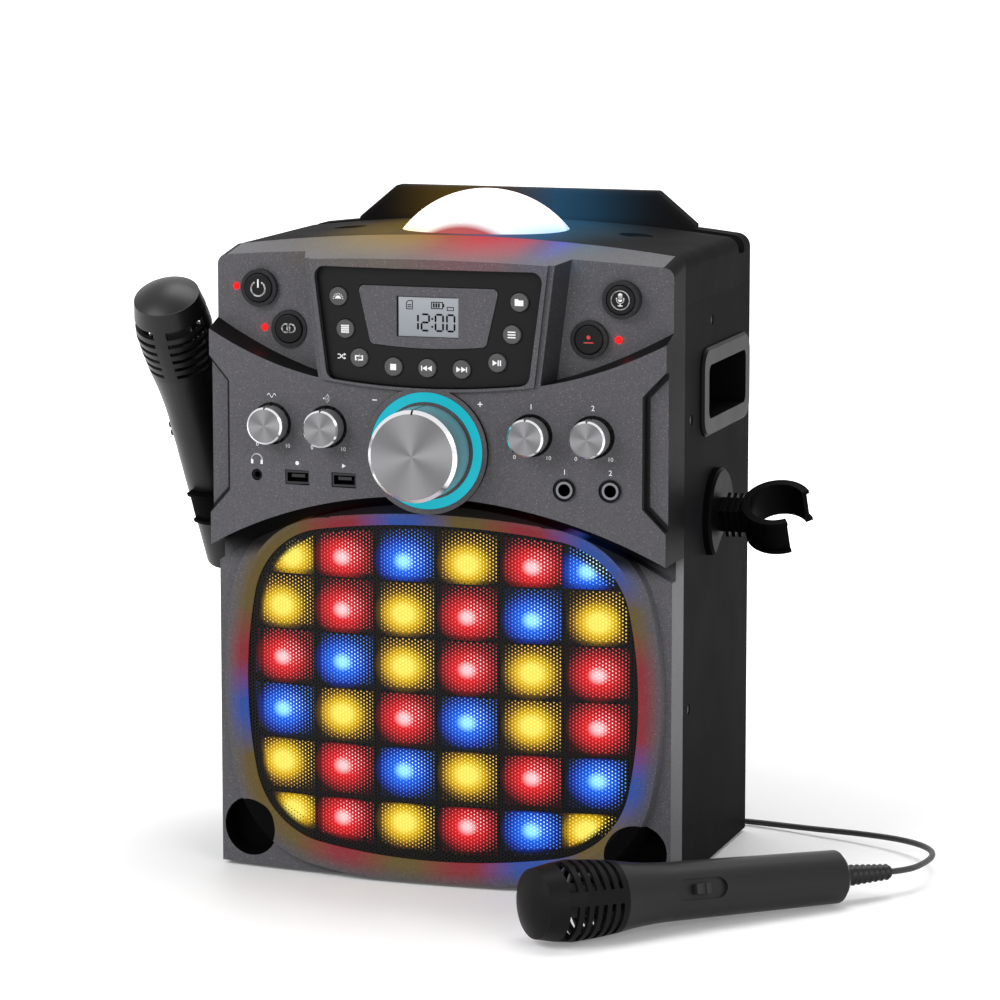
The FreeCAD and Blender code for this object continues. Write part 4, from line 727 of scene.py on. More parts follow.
def display_glass_material():
    """Grey-blue reflective display under clear glass, lighter towards the top, with a faint painted glow of
    the same colours.
    """
    made, tree, into = new_material("display glass", (0.2, 0.215, 0.235), 0.4, Specular_IOR_Level=0.3,
                                    Emission_Strength=0.25)
    rise = (place_parts(tree)[2] - GLASS_LOW * MM) / (GLASS_RISE * MM)
    shade = ramp(rise, (0.0, (0.19, 0.205, 0.225)), (0.6, (0.225, 0.24, 0.262)), (1.0, (0.25, 0.265, 0.285)))
    feed(tree, into["Base Color"], shade)
    feed(tree, into["Emission Color"], shade)
    return made


def dome_material():
    """Clear dome over the lamps: white glow, a red hill low in front, warm at left and cool at right."""
    made, tree, into = new_material("clear dome", (0.04, 0.042, 0.045), 0.08, Alpha=0.88)
    x, y, z = place_parts(tree)
    across = x / (DOME_SPAN * MM) + 0.5
    rise = (z - DOME_LOW * MM) / (HILL_RISE * MM)
    low = ramp(across, (0.05, (1.0, 0.78, 0.36)), (0.3, (1.0, 0.9, 0.7)), (0.6, (0.86, 0.92, 1.0)),
               (0.95, (0.42, 0.7, 1.0)))
    whiter = Number(tree, ramp(rise, (0.1, (0, 0, 0)), (0.95, (1, 1, 1))))
    shown = mix_colour(whiter, low, (1, 1, 1, 1))
    hill = 1 - abs(x / (HILL_HALF_WIDTH * MM)) ** 2.0 - rise
    red = lowest(highest((hill - 0.05) * 2.4, 0.0), 1.0) * rises(y, HILL_DEPTHS)
    shown = mix_colour(red, shown, (0.36, 0.004, 0.008, 1))
    cast = ramp(across, (0.1, (1.0, 0.6, 0.02)), (0.34, (1.0, 0.03, 0.02)), (0.62, (1.0, 0.02, 0.05)),
                (0.85, (0.02, 0.3, 1.0)))
    feed(tree, into["Emission Color"], mix_colour(ray(tree, "Camera"), cast, shown))
    feed(tree, into["Emission Strength"], shown_and_cast(tree, 1.05, 4.0))
    grain = use_group(tree, moulded_grain, Scale=300.0)
    feed(tree, into["Roughness"], mix_value(grain["Gloss"], 0.04, 0.12))
    return made


def lamp_cup_material():
    """White cup with three coloured lamp lenses: red in front, blue and yellow behind; the white cup itself
    has a faint painted glow.
    """
    made, tree, into = new_material("lamp cup", (0.8, 0.8, 0.82), 0.35, Emission_Strength=2.0)
    colour = (0.8, 0.8, 0.82, 1)
    glow = (0.12, 0.12, 0.12, 1)
    for turn, lamp in ((-90, (1.0, 0.03, 0.03, 1)), (30, (0.05, 0.35, 1.0, 1)), (150, (1.0, 0.62, 0.03, 1))):
        angle = math.radians(turn)
        centre = (LENS_RING * math.cos(angle), DOME_Y + LENS_RING * math.sin(angle), LENS_LEVEL)
        is_lens = distance_from(tree, centre, (1, 1, 1)) < (LENS_RADIUS + 0.6) * MM
        colour = mix_colour(is_lens, colour, lamp)
        glow = mix_colour(is_lens, glow, lamp)
    feed(tree, into["Base Color"], colour)
    feed(tree, into["Emission Color"], glow)
    bump(tree, into, use_group(tree, moulded_grain, Scale=400.0)["Height"], 0.05)
    return made


# Finishes and the nodes that have them

def finish(material, *names):
    for name in names:
        nodes[name].data.materials.clear()
        nodes[name].data.materials.append(material)
    return material


finish(moulded_plastic("satin black side", (0.0105, 0.0105, 0.0115), 0.5, 1400.0, 0.14, 0.004),
       "cabinet_shell", "rear_panel")
cover_tree = finish(moulded_plastic("charcoal cover", (0.008, 0.0078, 0.0082), 0.6, 1100.0, 0.4, 0.012),
                    "top_cover").node_tree
# The dome's light is painted on the cover's rest as a glow.
glow_on(cover_tree, cover_tree.nodes["Principled BSDF"].inputs, rest_spill)
finish(flaked_plastic("flaked grey insert"), "display_insert")
finish(flaked_plastic("flaked grey control front", control_shade, crown_spill), "control_fascia")
finish(flaked_plastic("flaked grey speaker front", speaker_shade, rim_glow), "speaker_fascia")
finish(moulded_plastic("foot rubber", (0.012, 0.012, 0.012), 0.8, 600.0, 0.4, 0.1), "rubber_feet")
finish(moulded_plastic("satin black panel", (0.007, 0.007, 0.0076), 0.45, 1800.0, 0.1, 0.11),
       "display_panel")
socket_black = finish(moulded_plastic("socket black", (0.004, 0.004, 0.0045), 0.6, 900.0, 0.1, 0.1),
                      "headphone_jack", "battery_pack", "dc_inlet")
finish(moulded_plastic("trim black", (0.0022, 0.0022, 0.0025), 0.4, 1300.0, 0.12, 0.07),
       "handle_cup_left", "handle_cup_right")
finish(moulded_plastic("holder black", (0.0022, 0.0022, 0.0025), 0.4, 1300.0, 0.12, 0.02),
       "mic_holder_left", "mic_holder_right")
finish(moulded_plastic("microphone black", (0.006, 0.006, 0.0065), 0.38, 1500.0, 0.12, 0.27),
       "holder_mic_body", "holder_mic_head", "floor_mic_body")
# The floor microphone's head is a darker, rougher copy of the microphone black: painted shade.
finish(moulded_plastic("microphone head painted shade", (0.003, 0.003, 0.0033), 0.5, 1500.0, 0.12, 0.1),
       "floor_mic_head")
finish(moulded_plastic("switch grey", (0.012, 0.012, 0.012), 0.45, 1200.0, 0.15, 0.3),
       "holder_mic_switch", "floor_mic_switch")
finish(moulded_plastic("button grey", (0.07, 0.07, 0.072), 0.45, 1600.0, 0.15, 0.2),
       "light_button", "pattern_button", "repeat_button", "stop_button", "previous_button",
       "next_button", "play_button", "mode_button", "folder_button")
finish(moulded_plastic("button black", (0.0055, 0.0055, 0.006), 0.42, 1600.0, 0.12, 0.12),
       "power_button", "pairing_button", "voice_button", "record_button")
finish(moulded_plastic("cell black", (0.012, 0.012, 0.012), 0.7, 700.0, 0.2, edge=0.0),
       "led_cell_grid", "speaker_baffle")
finish(moulded_plastic("board green", (0.02, 0.09, 0.04), 0.4, 500.0, 0.15, edge=0.0),
       "control_board", "main_board")
finish(moulded_plastic("cone paper", (0.02, 0.02, 0.02), 0.85, 420.0, 0.5, edge=0.0),
       "speaker_cone", "speaker_surround")
finish(moulded_plastic("lamp cup white", (0.85, 0.85, 0.86), 0.35, 400.0, 0.05, change=0.03), "led_strips")
finish(bright_metal("blackened steel", (0.06, 0.06, 0.062), 0.45), "speaker_frame")
finish(bright_metal("screw steel", (0.015, 0.015, 0.015), 0.4), "case_screws")
finish(bright_metal("socket steel", (0.03, 0.03, 0.032), 0.35), "usb_sockets", "potentiometers")
finish(jack_material(), "mic_jacks")
finish(plug_material(), "mic_plug")
finish(lit("cyan light", (0.008, 0.5, 0.62), 0.85, 2.0), "volume_light_ring")
finish(lit("red light", (1.0, 0.003, 0.003), 1.1, 24.0), "indicator_leds")
finish(display_glass_material(), "lcd_module")
finish(dome_material(), "dome_lens")
finish(lamp_cup_material(), "dome_light")
finish(spun_knob_metal("master knob metal", 0, MASTER_HEIGHT, MASTER_RADIUS, 2.0), "master_knob")
for word, x in zip(("bass", "echo", "mic_one_volume", "mic_two_volume"), KNOB_PLACES):
    finish(spun_knob_metal(word + " knob metal", x, KNOB_HEIGHT, KNOB_RADIUS, 1.0), word + "_knob")
grille_lit = glowing_grille()
cord_rubber = moulded_plastic("cord rubber", (0.011, 0.011, 0.0115), 0.5, 1400.0, 0.2, edge=0.0)
tie_cloth = moulded_plastic("tie cloth", (0.02, 0.02, 0.021), 0.85, 1700.0, 0.7, edge=0.0)
print_white = moulded_plastic("printed white", (0.78, 0.78, 0.79), 0.5, 2400.0, 0.05, edge=0.0, change=0.05)
print_red = moulded_plastic("printed red", (0.5, 0.02, 0.018), 0.45, 2400.0, 0.05, edge=0.0)
digit_black = moulded_plastic("display digit", (0.004, 0.004, 0.005), 0.5, 1600.0, 0.03, 0.05, edge=0.0)


# Mesh helpers

CREASE = math.radians(35.0)


def finished(name, bm, body, material):
    """A finished piece from a bmesh, in place and riding its body."""
    mesh = bpy.data.meshes.new(name)
    bm.to_mesh(mesh)
    bm.free()
    mesh.shade_smooth()
    mesh.set_sharp_from_angle(angle=CREASE)
    mesh.materials.append(material)
    piece = bpy.data.objects.new(name, mesh)
    scene.collection.objects.link(piece)
    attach(piece, body)
    return piece


def shift_new(bm, made, step):
    """Moves the new points in an operator's result by a step in millimetres."""
    points = [element for element in made["geom"] if isinstance(element, bmesh.types.BMVert)]
    bmesh.ops.translate(bm, verts=points, vec=Vector(step) * MM)


# The cord of the floor microphone and its put-away coil

CORD_DIAMETER = 3.5
CORD_LEVEL = FLOOR_LEVEL + CORD_DIAMETER / 2
FLOOR_TAIL = Vector((228.6, -83.0, FLOOR_LEVEL + 15.3))
FLOOR_HEADING = math.radians(226.6)
FLOOR_RISE = 7.4
FLOOR_SPAN = 175.0
FLOOR_SLOPE = math.asin(FLOOR_RISE / FLOOR_SPAN)
FLOOR_AXIS = Vector((math.cos(FLOOR_HEADING) * math.cos(FLOOR_SLOPE),
                     math.sin(FLOOR_HEADING) * math.cos(FLOOR_SLOPE), math.sin(FLOOR_SLOPE)))
GLAND_LENGTH = 34.0
CORD_EXIT = FLOOR_TAIL - FLOOR_AXIS * GLAND_LENGTH
CORD_LEAD = 13.0
CORD_FLOOR_POINTS = [
    (265.5, -26, 10.3), (266, 0, 9.3), (257.5, 23, 8.1), (238, 45, 6.2), (208, 62, 4), (173.5, 74, 2),
    (140, 86, 0.6), (106, 92, 0), (78, 89, 0), (56, 86.2, 0.6),
]
COIL_CENTRE = (20.0, 118.0)
COIL_OUTER = 32.4
COIL_PITCH = 4.2
COIL_HALF_TURNS = 12
COIL_LEVEL = CORD_LEVEL + 1.0
COIL_STEPS = 8
PLUG_TAIL = Vector((53.0, 152.6, FLOOR_LEVEL + 6.0))
PLUG_LEAD = 9.0
TIE_INNER = 7.6
TIE_SLACK = 0.5
TIE_WIDTH = 5.5
TIE_THICKNESS = 0.4


def coil_points():
    """Control points of the turns: in on the floor, up a layer, and out again.

    They swell outward, because the smooth curve runs inside its control points.
    """
    radii = [COIL_OUTER - i * COIL_PITCH / 2 for i in range(COIL_HALF_TURNS)]
    turns = [(radius, 0) for radius in radii]
    turns = turns + [(radii[-1] - COIL_PITCH / 2, COIL_PITCH)] + turns[::-1]
    x = COIL_CENTRE[0]
    y = COIL_CENTRE[1] - COIL_OUTER
    level = COIL_LEVEL
    side = 1
    points = [Vector((x + CORD_DIAMETER, y, level))]
    swell = 1 / (0.75 + 0.25 * math.cos(math.pi / COIL_STEPS))
    for radius, climb in turns:
        centre = y + side * radius
        for i in range(COIL_STEPS):
            share = (i + 0.5) / COIL_STEPS
            turn = math.pi * share
            points.append(Vector((x - side * radius * swell * math.sin(turn),
                                  centre - side * radius * swell * math.cos(turn), level + climb * share)))
        y += side * 2 * radius
        level += climb
        side = -side
    points.append(Vector((x + CORD_DIAMETER, y, level)))
    return points


def cord_points():
    """Control points from the microphone over the floor, round the coil and to the plug, in millimetres."""
    points = [CORD_EXIT, CORD_EXIT - FLOOR_AXIS * CORD_LEAD]
    points += [Vector((x, y, CORD_LEVEL + z)) for x, y, z in CORD_FLOOR_POINTS]
    turns = coil_points()
    points.append(turns[0] + Vector((CORD_LEAD, 0, 0)))
    points += turns
    points.append(turns[-1] + Vector((PLUG_LEAD, 0, 0)))
    points.append(PLUG_TAIL - Vector((PLUG_LEAD, 0, 0)))
    points.append(PLUG_TAIL)
    return points


def microphone_cord():
    curve = bpy.data.curves.new("microphone_cord", "CURVE")
    curve.dimensions = "3D"
    spline = curve.splines.new("NURBS")
    points = cord_points()
    spline.points.add(len(points) - 1)
    for place, point in zip(spline.points, points):
        place.co = (*(point * MM), 1)
    spline.order_u = 3
    spline.use_endpoint_u = True
    spline.resolution_u = 6
    curve.bevel_depth = CORD_DIAMETER / 2 * MM
    curve.bevel_resolution = 3
    curve.use_fill_caps = True
    curve.materials.append(cord_rubber)
    piece = bpy.data.objects.new("microphone_cord", curve)
    scene.collection.objects.link(piece)
    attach(piece, "floor_microphone")
    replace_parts(piece, "mic_cord", "mic_cord_coil")
    return piece


def coil_tie():
    """Flat band round one side of the coil."""
    room = CORD_DIAMETER / 2 + TIE_SLACK
    outer = COIL_OUTER + room
    low = COIL_LEVEL - room
    high = COIL_LEVEL + COIL_PITCH + room
    bm = bmesh.new()
    ring = bmesh.ops.create_circle(bm, segments=40, radius=1.0)["verts"]
    for v in ring:
        v.co.x = math.copysign(min(1, abs(v.co.x) ** 0.3), v.co.x) * (outer - TIE_INNER) / 2 * MM
        v.co.z = math.copysign(min(1, abs(v.co.y) ** 0.45), v.co.y) * (high - low) / 2 * MM
        v.co.y = -TIE_WIDTH / 2 * MM
    shift_new(bm, bmesh.ops.extrude_edge_only(bm, edges=bm.edges[:]), (0, TIE_WIDTH, 0))
    bmesh.ops.recalc_face_normals(bm, faces=bm.faces[:])
    bmesh.ops.solidify(bm, geom=bm.faces[:], thickness=TIE_THICKNESS * MM)
    place = Vector((COIL_CENTRE[0] + (TIE_INNER + outer) / 2, COIL_CENTRE[1], (low + high) / 2))
    bmesh.ops.translate(bm, verts=bm.verts[:], vec=place * MM)
    return finished("coil_tie", bm, "floor_microphone", tie_cloth)


cord = microphone_cord()
tie = coil_tie()


# Perforated grille and the light cells behind it

HOLE_PITCH = 2.13
HOLE_RADIUS = 0.56
HOLE_COLUMNS = 64
HOLE_ROWS = 94
SHEET_WALL = 0.7
HOLE_FIELD_MARGIN = 1.9
DIFFUSER_DEPTH = 9.0
DIFFUSER_DISH = 5.0
DIFFUSER_EDGE = -4.0
TRIM_CUTS = 72
TRIM_START = 60.0
TRIM_STEP = 0.25
TRIM_NEAR = 0.2


def barrel_reach(x, z):
    """How far a point lies outside the barrel outline, in millimetres; inside it is negative."""
    x = abs(x)
    z = abs(z - BARREL_CENTRE)
    side = math.hypot(x - BARREL_HALF_WIDTH + BARREL_SIDE_RADIUS, z) - BARREL_SIDE_RADIUS
    lid = math.hypot(x, z - BARREL_HALF_HEIGHT + BARREL_TOP_RADIUS) - BARREL_TOP_RADIUS
    corner = math.hypot(x - CORNER_PLACE[0], z - CORNER_PLACE[1]) - BARREL_CORNER_RADIUS
    if x > CORNER_PLACE[0] and z > CORNER_PLACE[1] and corner > max(side, lid):
        return corner
    return max(side, lid)


def repeat(bm, count, step):
    """Copies everything in the bmesh until it stands count times, a step in millimetres apart."""
    first = bm.verts[:] + bm.edges[:] + bm.faces[:]
    for i in range(1, count):
        shift_new(bm, bmesh.ops.duplicate(bm, geom=first), Vector(step) * i)


def perforated_half(name, side):
    """Half of the curved sheet, a lattice of six-sided webs round small six-sided holes."""
    columns = HOLE_PITCH * math.sqrt(3) / 2
    bm = bmesh.new()
    bmesh.ops.create_circle(bm, segments=6, radius=HOLE_PITCH / math.sqrt(3) * MM)
    bmesh.ops.create_circle(bm, segments=6, radius=HOLE_RADIUS * MM)
    bmesh.ops.rotate(bm, cent=(0, 0, 0), matrix=Matrix.Rotation(math.radians(30), 3, "Z"), verts=bm.verts[:])
    bmesh.ops.bridge_loops(bm, edges=bm.edges[:])
    bmesh.ops.rotate(bm, cent=(0, 0, 0), matrix=Matrix.Rotation(math.radians(90), 3, "X"), verts=bm.verts[:])
    repeat(bm, 2, (columns, 0, HOLE_PITCH / 2))
    repeat(bm, HOLE_COLUMNS // 2, (2 * columns, 0, 0))
    repeat(bm, HOLE_ROWS, (0, 0, HOLE_PITCH))
    left = columns / 2 if side > 0 else columns / 2 - HOLE_COLUMNS * columns
    start = Vector((left, 0, BARREL_CENTRE - HOLE_ROWS / 2 * HOLE_PITCH))
    bmesh.ops.translate(bm, verts=bm.verts[:], vec=start * MM)
    outside = []
    for face in bm.faces:
        x, z = face.calc_center_median().xz
        if barrel_reach(x / MM, z / MM) > HOLE_FIELD_MARGIN:
            outside.append(face)
    bmesh.ops.delete(bm, geom=outside, context="FACES")
    bmesh.ops.remove_doubles(bm, verts=bm.verts[:], dist=0.02 * MM)
    rims = [e for e in bm.edges if e.is_boundary and e.calc_length() < HOLE_RADIUS * 1.02 * MM]
    shift_new(bm, bmesh.ops.extrude_edge_only(bm, edges=rims), (0, SHEET_WALL, 0))
    for v in bm.verts:
        v.co.y += bulge_y(GRILLE_CREST, v.co.x / MM) * MM
    bmesh.ops.recalc_face_normals(bm, faces=bm.faces[:])
    return finished(name, bm, "cabinet", grille_lit)


def lamp_diffusers():
    """Dished diffusers, one colour to a piece; the order of the colours slips by one every eighth lamp."""
    for index, (word, hot, mid, low) in enumerate(LAMP_COLOURS):
        bm = bmesh.new()
        for lamp in range(CELL_COUNT * CELL_COUNT):
            row, column = divmod(lamp, CELL_COUNT)
            if (column + lamp // LAMPS_BEFORE_SLIP) % LAMP_KINDS == index:
                lamp_diffuser(bm, *cell_centre(column, row))
        trim_to_barrel(bm)
        glow = light_cell(word + " cell", hot, mid, low)
        finished("lamp_diffusers_" + word, bm, "cabinet", glow)


def lamp_diffuser(bm, x, z):
    """One shallow dish that fills its cell behind the grille."""
    made = bmesh.ops.create_grid(bm, x_segments=6, y_segments=6, size=1.0)["verts"]
    half = (CELL_PITCH_X - CELL_WALL) / 2
    tall = (CELL_PITCH_Z - CELL_WALL) / 2
    for v in made:
        u, w = v.co.x, v.co.y
        dish = DIFFUSER_DISH * (1 - u * u) * (1 - w * w)
        v.co = Vector((x + u * half, 0, z + w * tall)) * MM
        v.co.y = (bulge_y(GRILLE_CREST, x) + DIFFUSER_DEPTH + dish) * MM


def trim_to_barrel(bm):
    """Cuts off, with a ring of planes, what comes near the barrel outline."""
    for i in range(TRIM_CUTS):
        turn = 2 * math.pi * (i + 0.5) / TRIM_CUTS
        out = Vector((math.cos(turn), math.sin(turn)))
        reach = TRIM_START
        while barrel_reach(out.x * reach, BARREL_CENTRE + out.y * reach) < DIFFUSER_EDGE:
            reach += TRIM_STEP
        x = out.x * reach
        z = BARREL_CENTRE + out.y * reach
        grow = Vector((barrel_reach(x + TRIM_NEAR, z) - barrel_reach(x - TRIM_NEAR, z),
                       barrel_reach(x, z + TRIM_NEAR) - barrel_reach(x, z - TRIM_NEAR))).normalized()
        bmesh.ops.bisect_plane(bm, geom=bm.verts[:] + bm.edges[:] + bm.faces[:], dist=1e-7,
                               plane_co=Vector((x, 0, z)) * MM, plane_no=(grow.x, 0, grow.y),
                               clear_outer=True)


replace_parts(perforated_half("grille_left", -1), "speaker_grille")
perforated_half("grille_right", 1)
lamp_diffusers()


# Prints: flat shapes drawn in millimetres, then laid on a front surface

PRINT_HEIGHT = 0.09
PRINT_SINK = 0.03
FIGURE_SHARE = 0.7
BUTTON_PROUD = 1.5
KNOB_MARK_RISE = 16.0
SIGN_RISE = 16.6
SIGN_PLACE = 31.0
PHONE_MARK_RISE = 8.6
USB_MARK_RISE = 8.2
JACK_MARK_RISE = 10.0
FIGURE_HEIGHT = 3.0


def patch(bm, corners):
    bm.faces.new([bm.verts.new((*corner, 0)) for corner in corners])


def slab(bm, u, v, width, height):
    patch(bm, [(u - width / 2, v - height / 2), (u + width / 2, v - height / 2),
               (u + width / 2, v + height / 2), (u - width / 2, v + height / 2)])


def stroke(bm, width, *points):
    """Straight strokes through the points."""
    for start, end in zip(points, points[1:]):
        a, b = Vector(start), Vector(end)
        along = (b - a).normalized()
        across = Vector((-along.y, along.x)) * width / 2
        patch(bm, [a - across, b - across, b + across, a + across])


def band(bm, centre, outer, inner, start, end, steps=24):
    """Band between two radii, from one angle to another in degrees."""
    rays = []
    for i in range(steps + 1):
        turn = math.radians(start + (end - start) * i / steps)
        rays.append(Vector((math.cos(turn), math.sin(turn))))
    middle = Vector(centre)
    for a, b in zip(rays, rays[1:]):
        patch(bm, [middle + a * inner, middle + a * outer, middle + b * outer, middle + b * inner])


def disc(bm, u, v, radius, start=0, end=360, steps=24):
    patch(bm, [(u + radius * math.cos(math.radians(start + (end - start) * i / steps)),
                v + radius * math.sin(math.radians(start + (end - start) * i / steps)))
               for i in range(steps + (end - start < 360))])


def box_line(bm, u, v, width, height, line):
    """Outline of an upright rectangle."""
    for side in (-1, 1):
        slab(bm, u, v + side * (height - line) / 2, width, line)
        slab(bm, u + side * (width - line) / 2, v, line, height - 2 * line)


def figures(bm, words, u, v, height):
    """Plain figures in the built-in face, as flat faces."""
    data = bpy.data.curves.new("figures", "FONT")
    data.body = words
    data.align_x = "CENTER"
    data.align_y = "CENTER"
    data.size = height / FIGURE_SHARE
    data.resolution_u = 3
    drawn = bpy.data.meshes.new_from_object(bpy.data.objects.new("figures", data))
    drawn.transform(Matrix.Translation((u, v, 0)))
    bm.from_mesh(drawn)


def on_front(x, z, crest=CONTROL_CREST):
    """Where drawn points come to lie round x and z on a bulged front."""
    return lambda u, v: Vector((x + u, bulge_y(crest, x + u) + PRINT_SINK, z + v)) * MM


def on_flat(x, z, face):
    """Where drawn points come to lie round x and z on a flat face."""
    return lambda u, v: Vector((x + u, face + PRINT_SINK, z + v)) * MM


def laid(name, draw, place, body="cabinet", material=print_white):
    """Draws a print, gives it its thickness and lays it on its surface."""
    bm = bmesh.new()
    draw(bm)
    for v in bm.verts:
        v.co = place(v.co.x, v.co.y)
    thick = bmesh.ops.extrude_face_region(bm, geom=bm.faces[:], use_keep_orig=True)
    shift_new(bm, thick, (0, -PRINT_HEIGHT, 0))
    bmesh.ops.remove_doubles(bm, verts=bm.verts[:], dist=1e-6)
    bmesh.ops.recalc_face_normals(bm, faces=bm.faces[:])
    finished(name, bm, body, material)


def draw_half_sun(bm):
    disc(bm, 0, -1.2, 1.7, 0, 180)
    for i in range(9):
        turn = math.radians(22.5 * i)
        out = Vector((math.cos(turn), math.sin(turn)))
        stroke(bm, 0.28, Vector((0, -1.2)) + out * 2.25, Vector((0, -1.2)) + out * 3.2)


def draw_pattern(bm):
    for row in range(4):
        for column in range(4):
            slab(bm, (column - 1.5) * 1.2, (row - 1.5) * 1.2, 0.95, 0.95)


def draw_loop(bm, width=4.8, height=2.9, line=0.75):
    box_line(bm, 0, 0, width, height, line)
    for side in (-1, 1):
        tip = Vector((side * (width / 2 - 1.0), side * (height - line) / 2))
        patch(bm, [tip + Vector((side * -1.1, 0.85)), tip + Vector((side * -1.1, -0.85)), tip])


def draw_stop(bm):
    slab(bm, 0, 0, 3.5, 3.5)


def draw_skip(bm, side):
    slab(bm, side * 3.1, 0, 0.6, 2.9)
    for start in (-2.9, 0.0):
        patch(bm, [(side * start, -1.6), (side * (start + 2.75), 0), (side * start, 1.6)])


def draw_play(bm):
    patch(bm, [(-2.5, -1.6), (0.2, 0), (-2.5, 1.6)])
    for u in (0.8, 2.1):
        slab(bm, u, 0, 0.75, 3.1)


def draw_list(bm):
    for v in (-1.5, 0, 1.5):
        slab(bm, 0, v, 4.6, 0.7)


def draw_folder(bm):
    slab(bm, 0, -0.35, 5.0, 3.1)
    slab(bm, -1.45, 1.55, 2.1, 0.7)


def draw_power(bm):
    band(bm, (0, -0.4), 4.6, 3.75, -240, 60, 40)
    slab(bm, 0, 2.6, 0.85, 4.8)


def draw_pairing(bm):
    for u in (-1.55, 1.55):
        band(bm, (u, 0.4), 2.8, 1.95, 0, 360)


def draw_voice(bm):
    band(bm, (0, 0), 5.5, 4.95, 0, 360, 40)
    slab(bm, 0, 1.5, 2.5, 2.4)
    disc(bm, 0, 2.7, 1.25, 0, 180, 12)
    disc(bm, 0, 0.3, 1.25, 180, 360, 12)
    band(bm, (0, 0.3), 2.35, 1.75, 180, 360, 14)
    for u in (-2.05, 2.05):
        slab(bm, u, 0.8, 0.6, 1.0)
    slab(bm, 0, -2.4, 0.6, 0.9)
    slab(bm, 0, -3.1, 2.8, 0.5)


def draw_record(bm):
    disc(bm, 0, 1.4, 1.15)
    slab(bm, 0, -1.6, 5.6, 0.7)


def draw_shuffle(bm):
    for side in (-1, 1):
        stroke(bm, 0.5, (-2.4, side * 1.1), (-1.3, side * 1.1), (1.1, side * -1.1), (1.7, side * -1.1))
        patch(bm, [(1.6, side * -1.1 - 0.75), (2.7, side * -1.1), (1.6, side * -1.1 + 0.75)])


def draw_headphones(bm):
    band(bm, (0, 0), 3.7, 3.05, 0, 180)
    for u in (-3.05, 3.05):
        slab(bm, u, -1.15, 1.4, 2.3)


def draw_wave(bm):
    points = [(0.22 * i - 2.64, math.sin(0.22 * i * math.pi / 1.76) * 1.1) for i in range(25)]
    stroke(bm, 0.42, *points)


def draw_echo(bm):
    disc(bm, -1.9, 0, 0.45)
    for radius in (1.4, 2.4, 3.4):
        band(bm, (-1.9, 0), radius, radius - 0.4, -48, 48, 12)


def draw_dot(bm):
    disc(bm, 0, 0, 1.15)


def draw_triangle(bm):
    patch(bm, [(-1.0, -1.25), (1.3, 0), (-1.0, 1.25)])


def draw_minus(bm):
    slab(bm, 0, 0, 2.8, 0.55)


def draw_plus(bm):
    slab(bm, 0, 0, 2.8, 0.55)
    for v in (-0.8375, 0.8375):
        slab(bm, 0, v, 0.55, 1.125)


PANEL_ICONS = {
    "light": (-53.1, 335.0, draw_half_sun), "pattern": (-48.9, 316.9, draw_pattern),
    "repeat": (-40.5, 300.9, draw_loop), "stop": (-20.0, 296.6, draw_stop),
    "previous": (0.0, 296.6, lambda bm: draw_skip(bm, -1)),
    "next": (20.0, 296.6, lambda bm: draw_skip(bm, 1)),
    "play": (40.5, 300.9, draw_play), "mode": (48.9, 316.9, draw_list), "folder": (53.1, 335.0, draw_folder),
}
ROUND_ICONS = {
    "power": (draw_power, print_white), "pairing": (draw_pairing, print_white),
    "voice": (draw_voice, print_white), "record": (draw_record, print_red),
}
for word, (x, z, draw) in PANEL_ICONS.items():
    laid(word + "_icon", draw, on_flat(x, z, bulge_y(PANEL_CREST, x) - BUTTON_PROUD), word + "_button")
for word, (draw, material) in ROUND_ICONS.items():
    laid(word + "_icon", draw, on_flat(*ROUND_PLACES[word], ROUND_FACE), word + "_button", material=material)
laid("shuffle_mark", draw_shuffle, on_front(-51.6, 301.2, PANEL_CREST))
laid("headphone_mark", draw_headphones, on_front(PHONE_PLACE, SOCKET_HEIGHT + PHONE_MARK_RISE))
laid("record_mark", draw_dot, on_front(USB_PLACES[0], SOCKET_HEIGHT + USB_MARK_RISE))
laid("play_mark", draw_triangle, on_front(USB_PLACES[1], SOCKET_HEIGHT + USB_MARK_RISE))
laid("bass_mark", draw_wave, on_front(KNOB_PLACES[0], KNOB_HEIGHT + KNOB_MARK_RISE))
laid("echo_mark", draw_echo, on_front(KNOB_PLACES[1], KNOB_HEIGHT + KNOB_MARK_RISE))
laid("quieter_mark", draw_minus, on_front(-SIGN_PLACE, KNOB_HEIGHT + SIGN_RISE))
laid("louder_mark", draw_plus, on_front(SIGN_PLACE, KNOB_HEIGHT + SIGN_RISE))
for word, places, level in (("voice", KNOB_PLACES[2:], KNOB_HEIGHT + KNOB_MARK_RISE),
                            ("jack", JACK_PLACES, SOCKET_HEIGHT + JACK_MARK_RISE)):
    for number, x in enumerate(places, 1):
        laid("%s_figure_%d" % (word, number), lambda bm: figures(bm, str(number), 0, 0, FIGURE_HEIGHT),
             on_front(x, level))


def draw_scale(bm):
    figures(bm, "0", -9.4, -12.4, 2.3)
    figures(bm, "10", 9.8, -12.4, 2.3)


# A black ring round each small knob's base: a painted shadow where the knob meets the front.
def draw_knob_seat(bm):
    band(bm, (0, 0), KNOB_RADIUS + 1.6, KNOB_RADIUS - 1.5, 0, 360, 48)


for number, x in enumerate(KNOB_PLACES, 1):
    laid("scale_figures_%d" % number, draw_scale, on_front(x, KNOB_HEIGHT))
    laid("knob_shadow_ring_%d" % number, draw_knob_seat, on_front(x, KNOB_HEIGHT),
         material=socket_black)


# Display figures

LIT_BARS = {"0": "abcdef", "1": "bc", "2": "abged"}


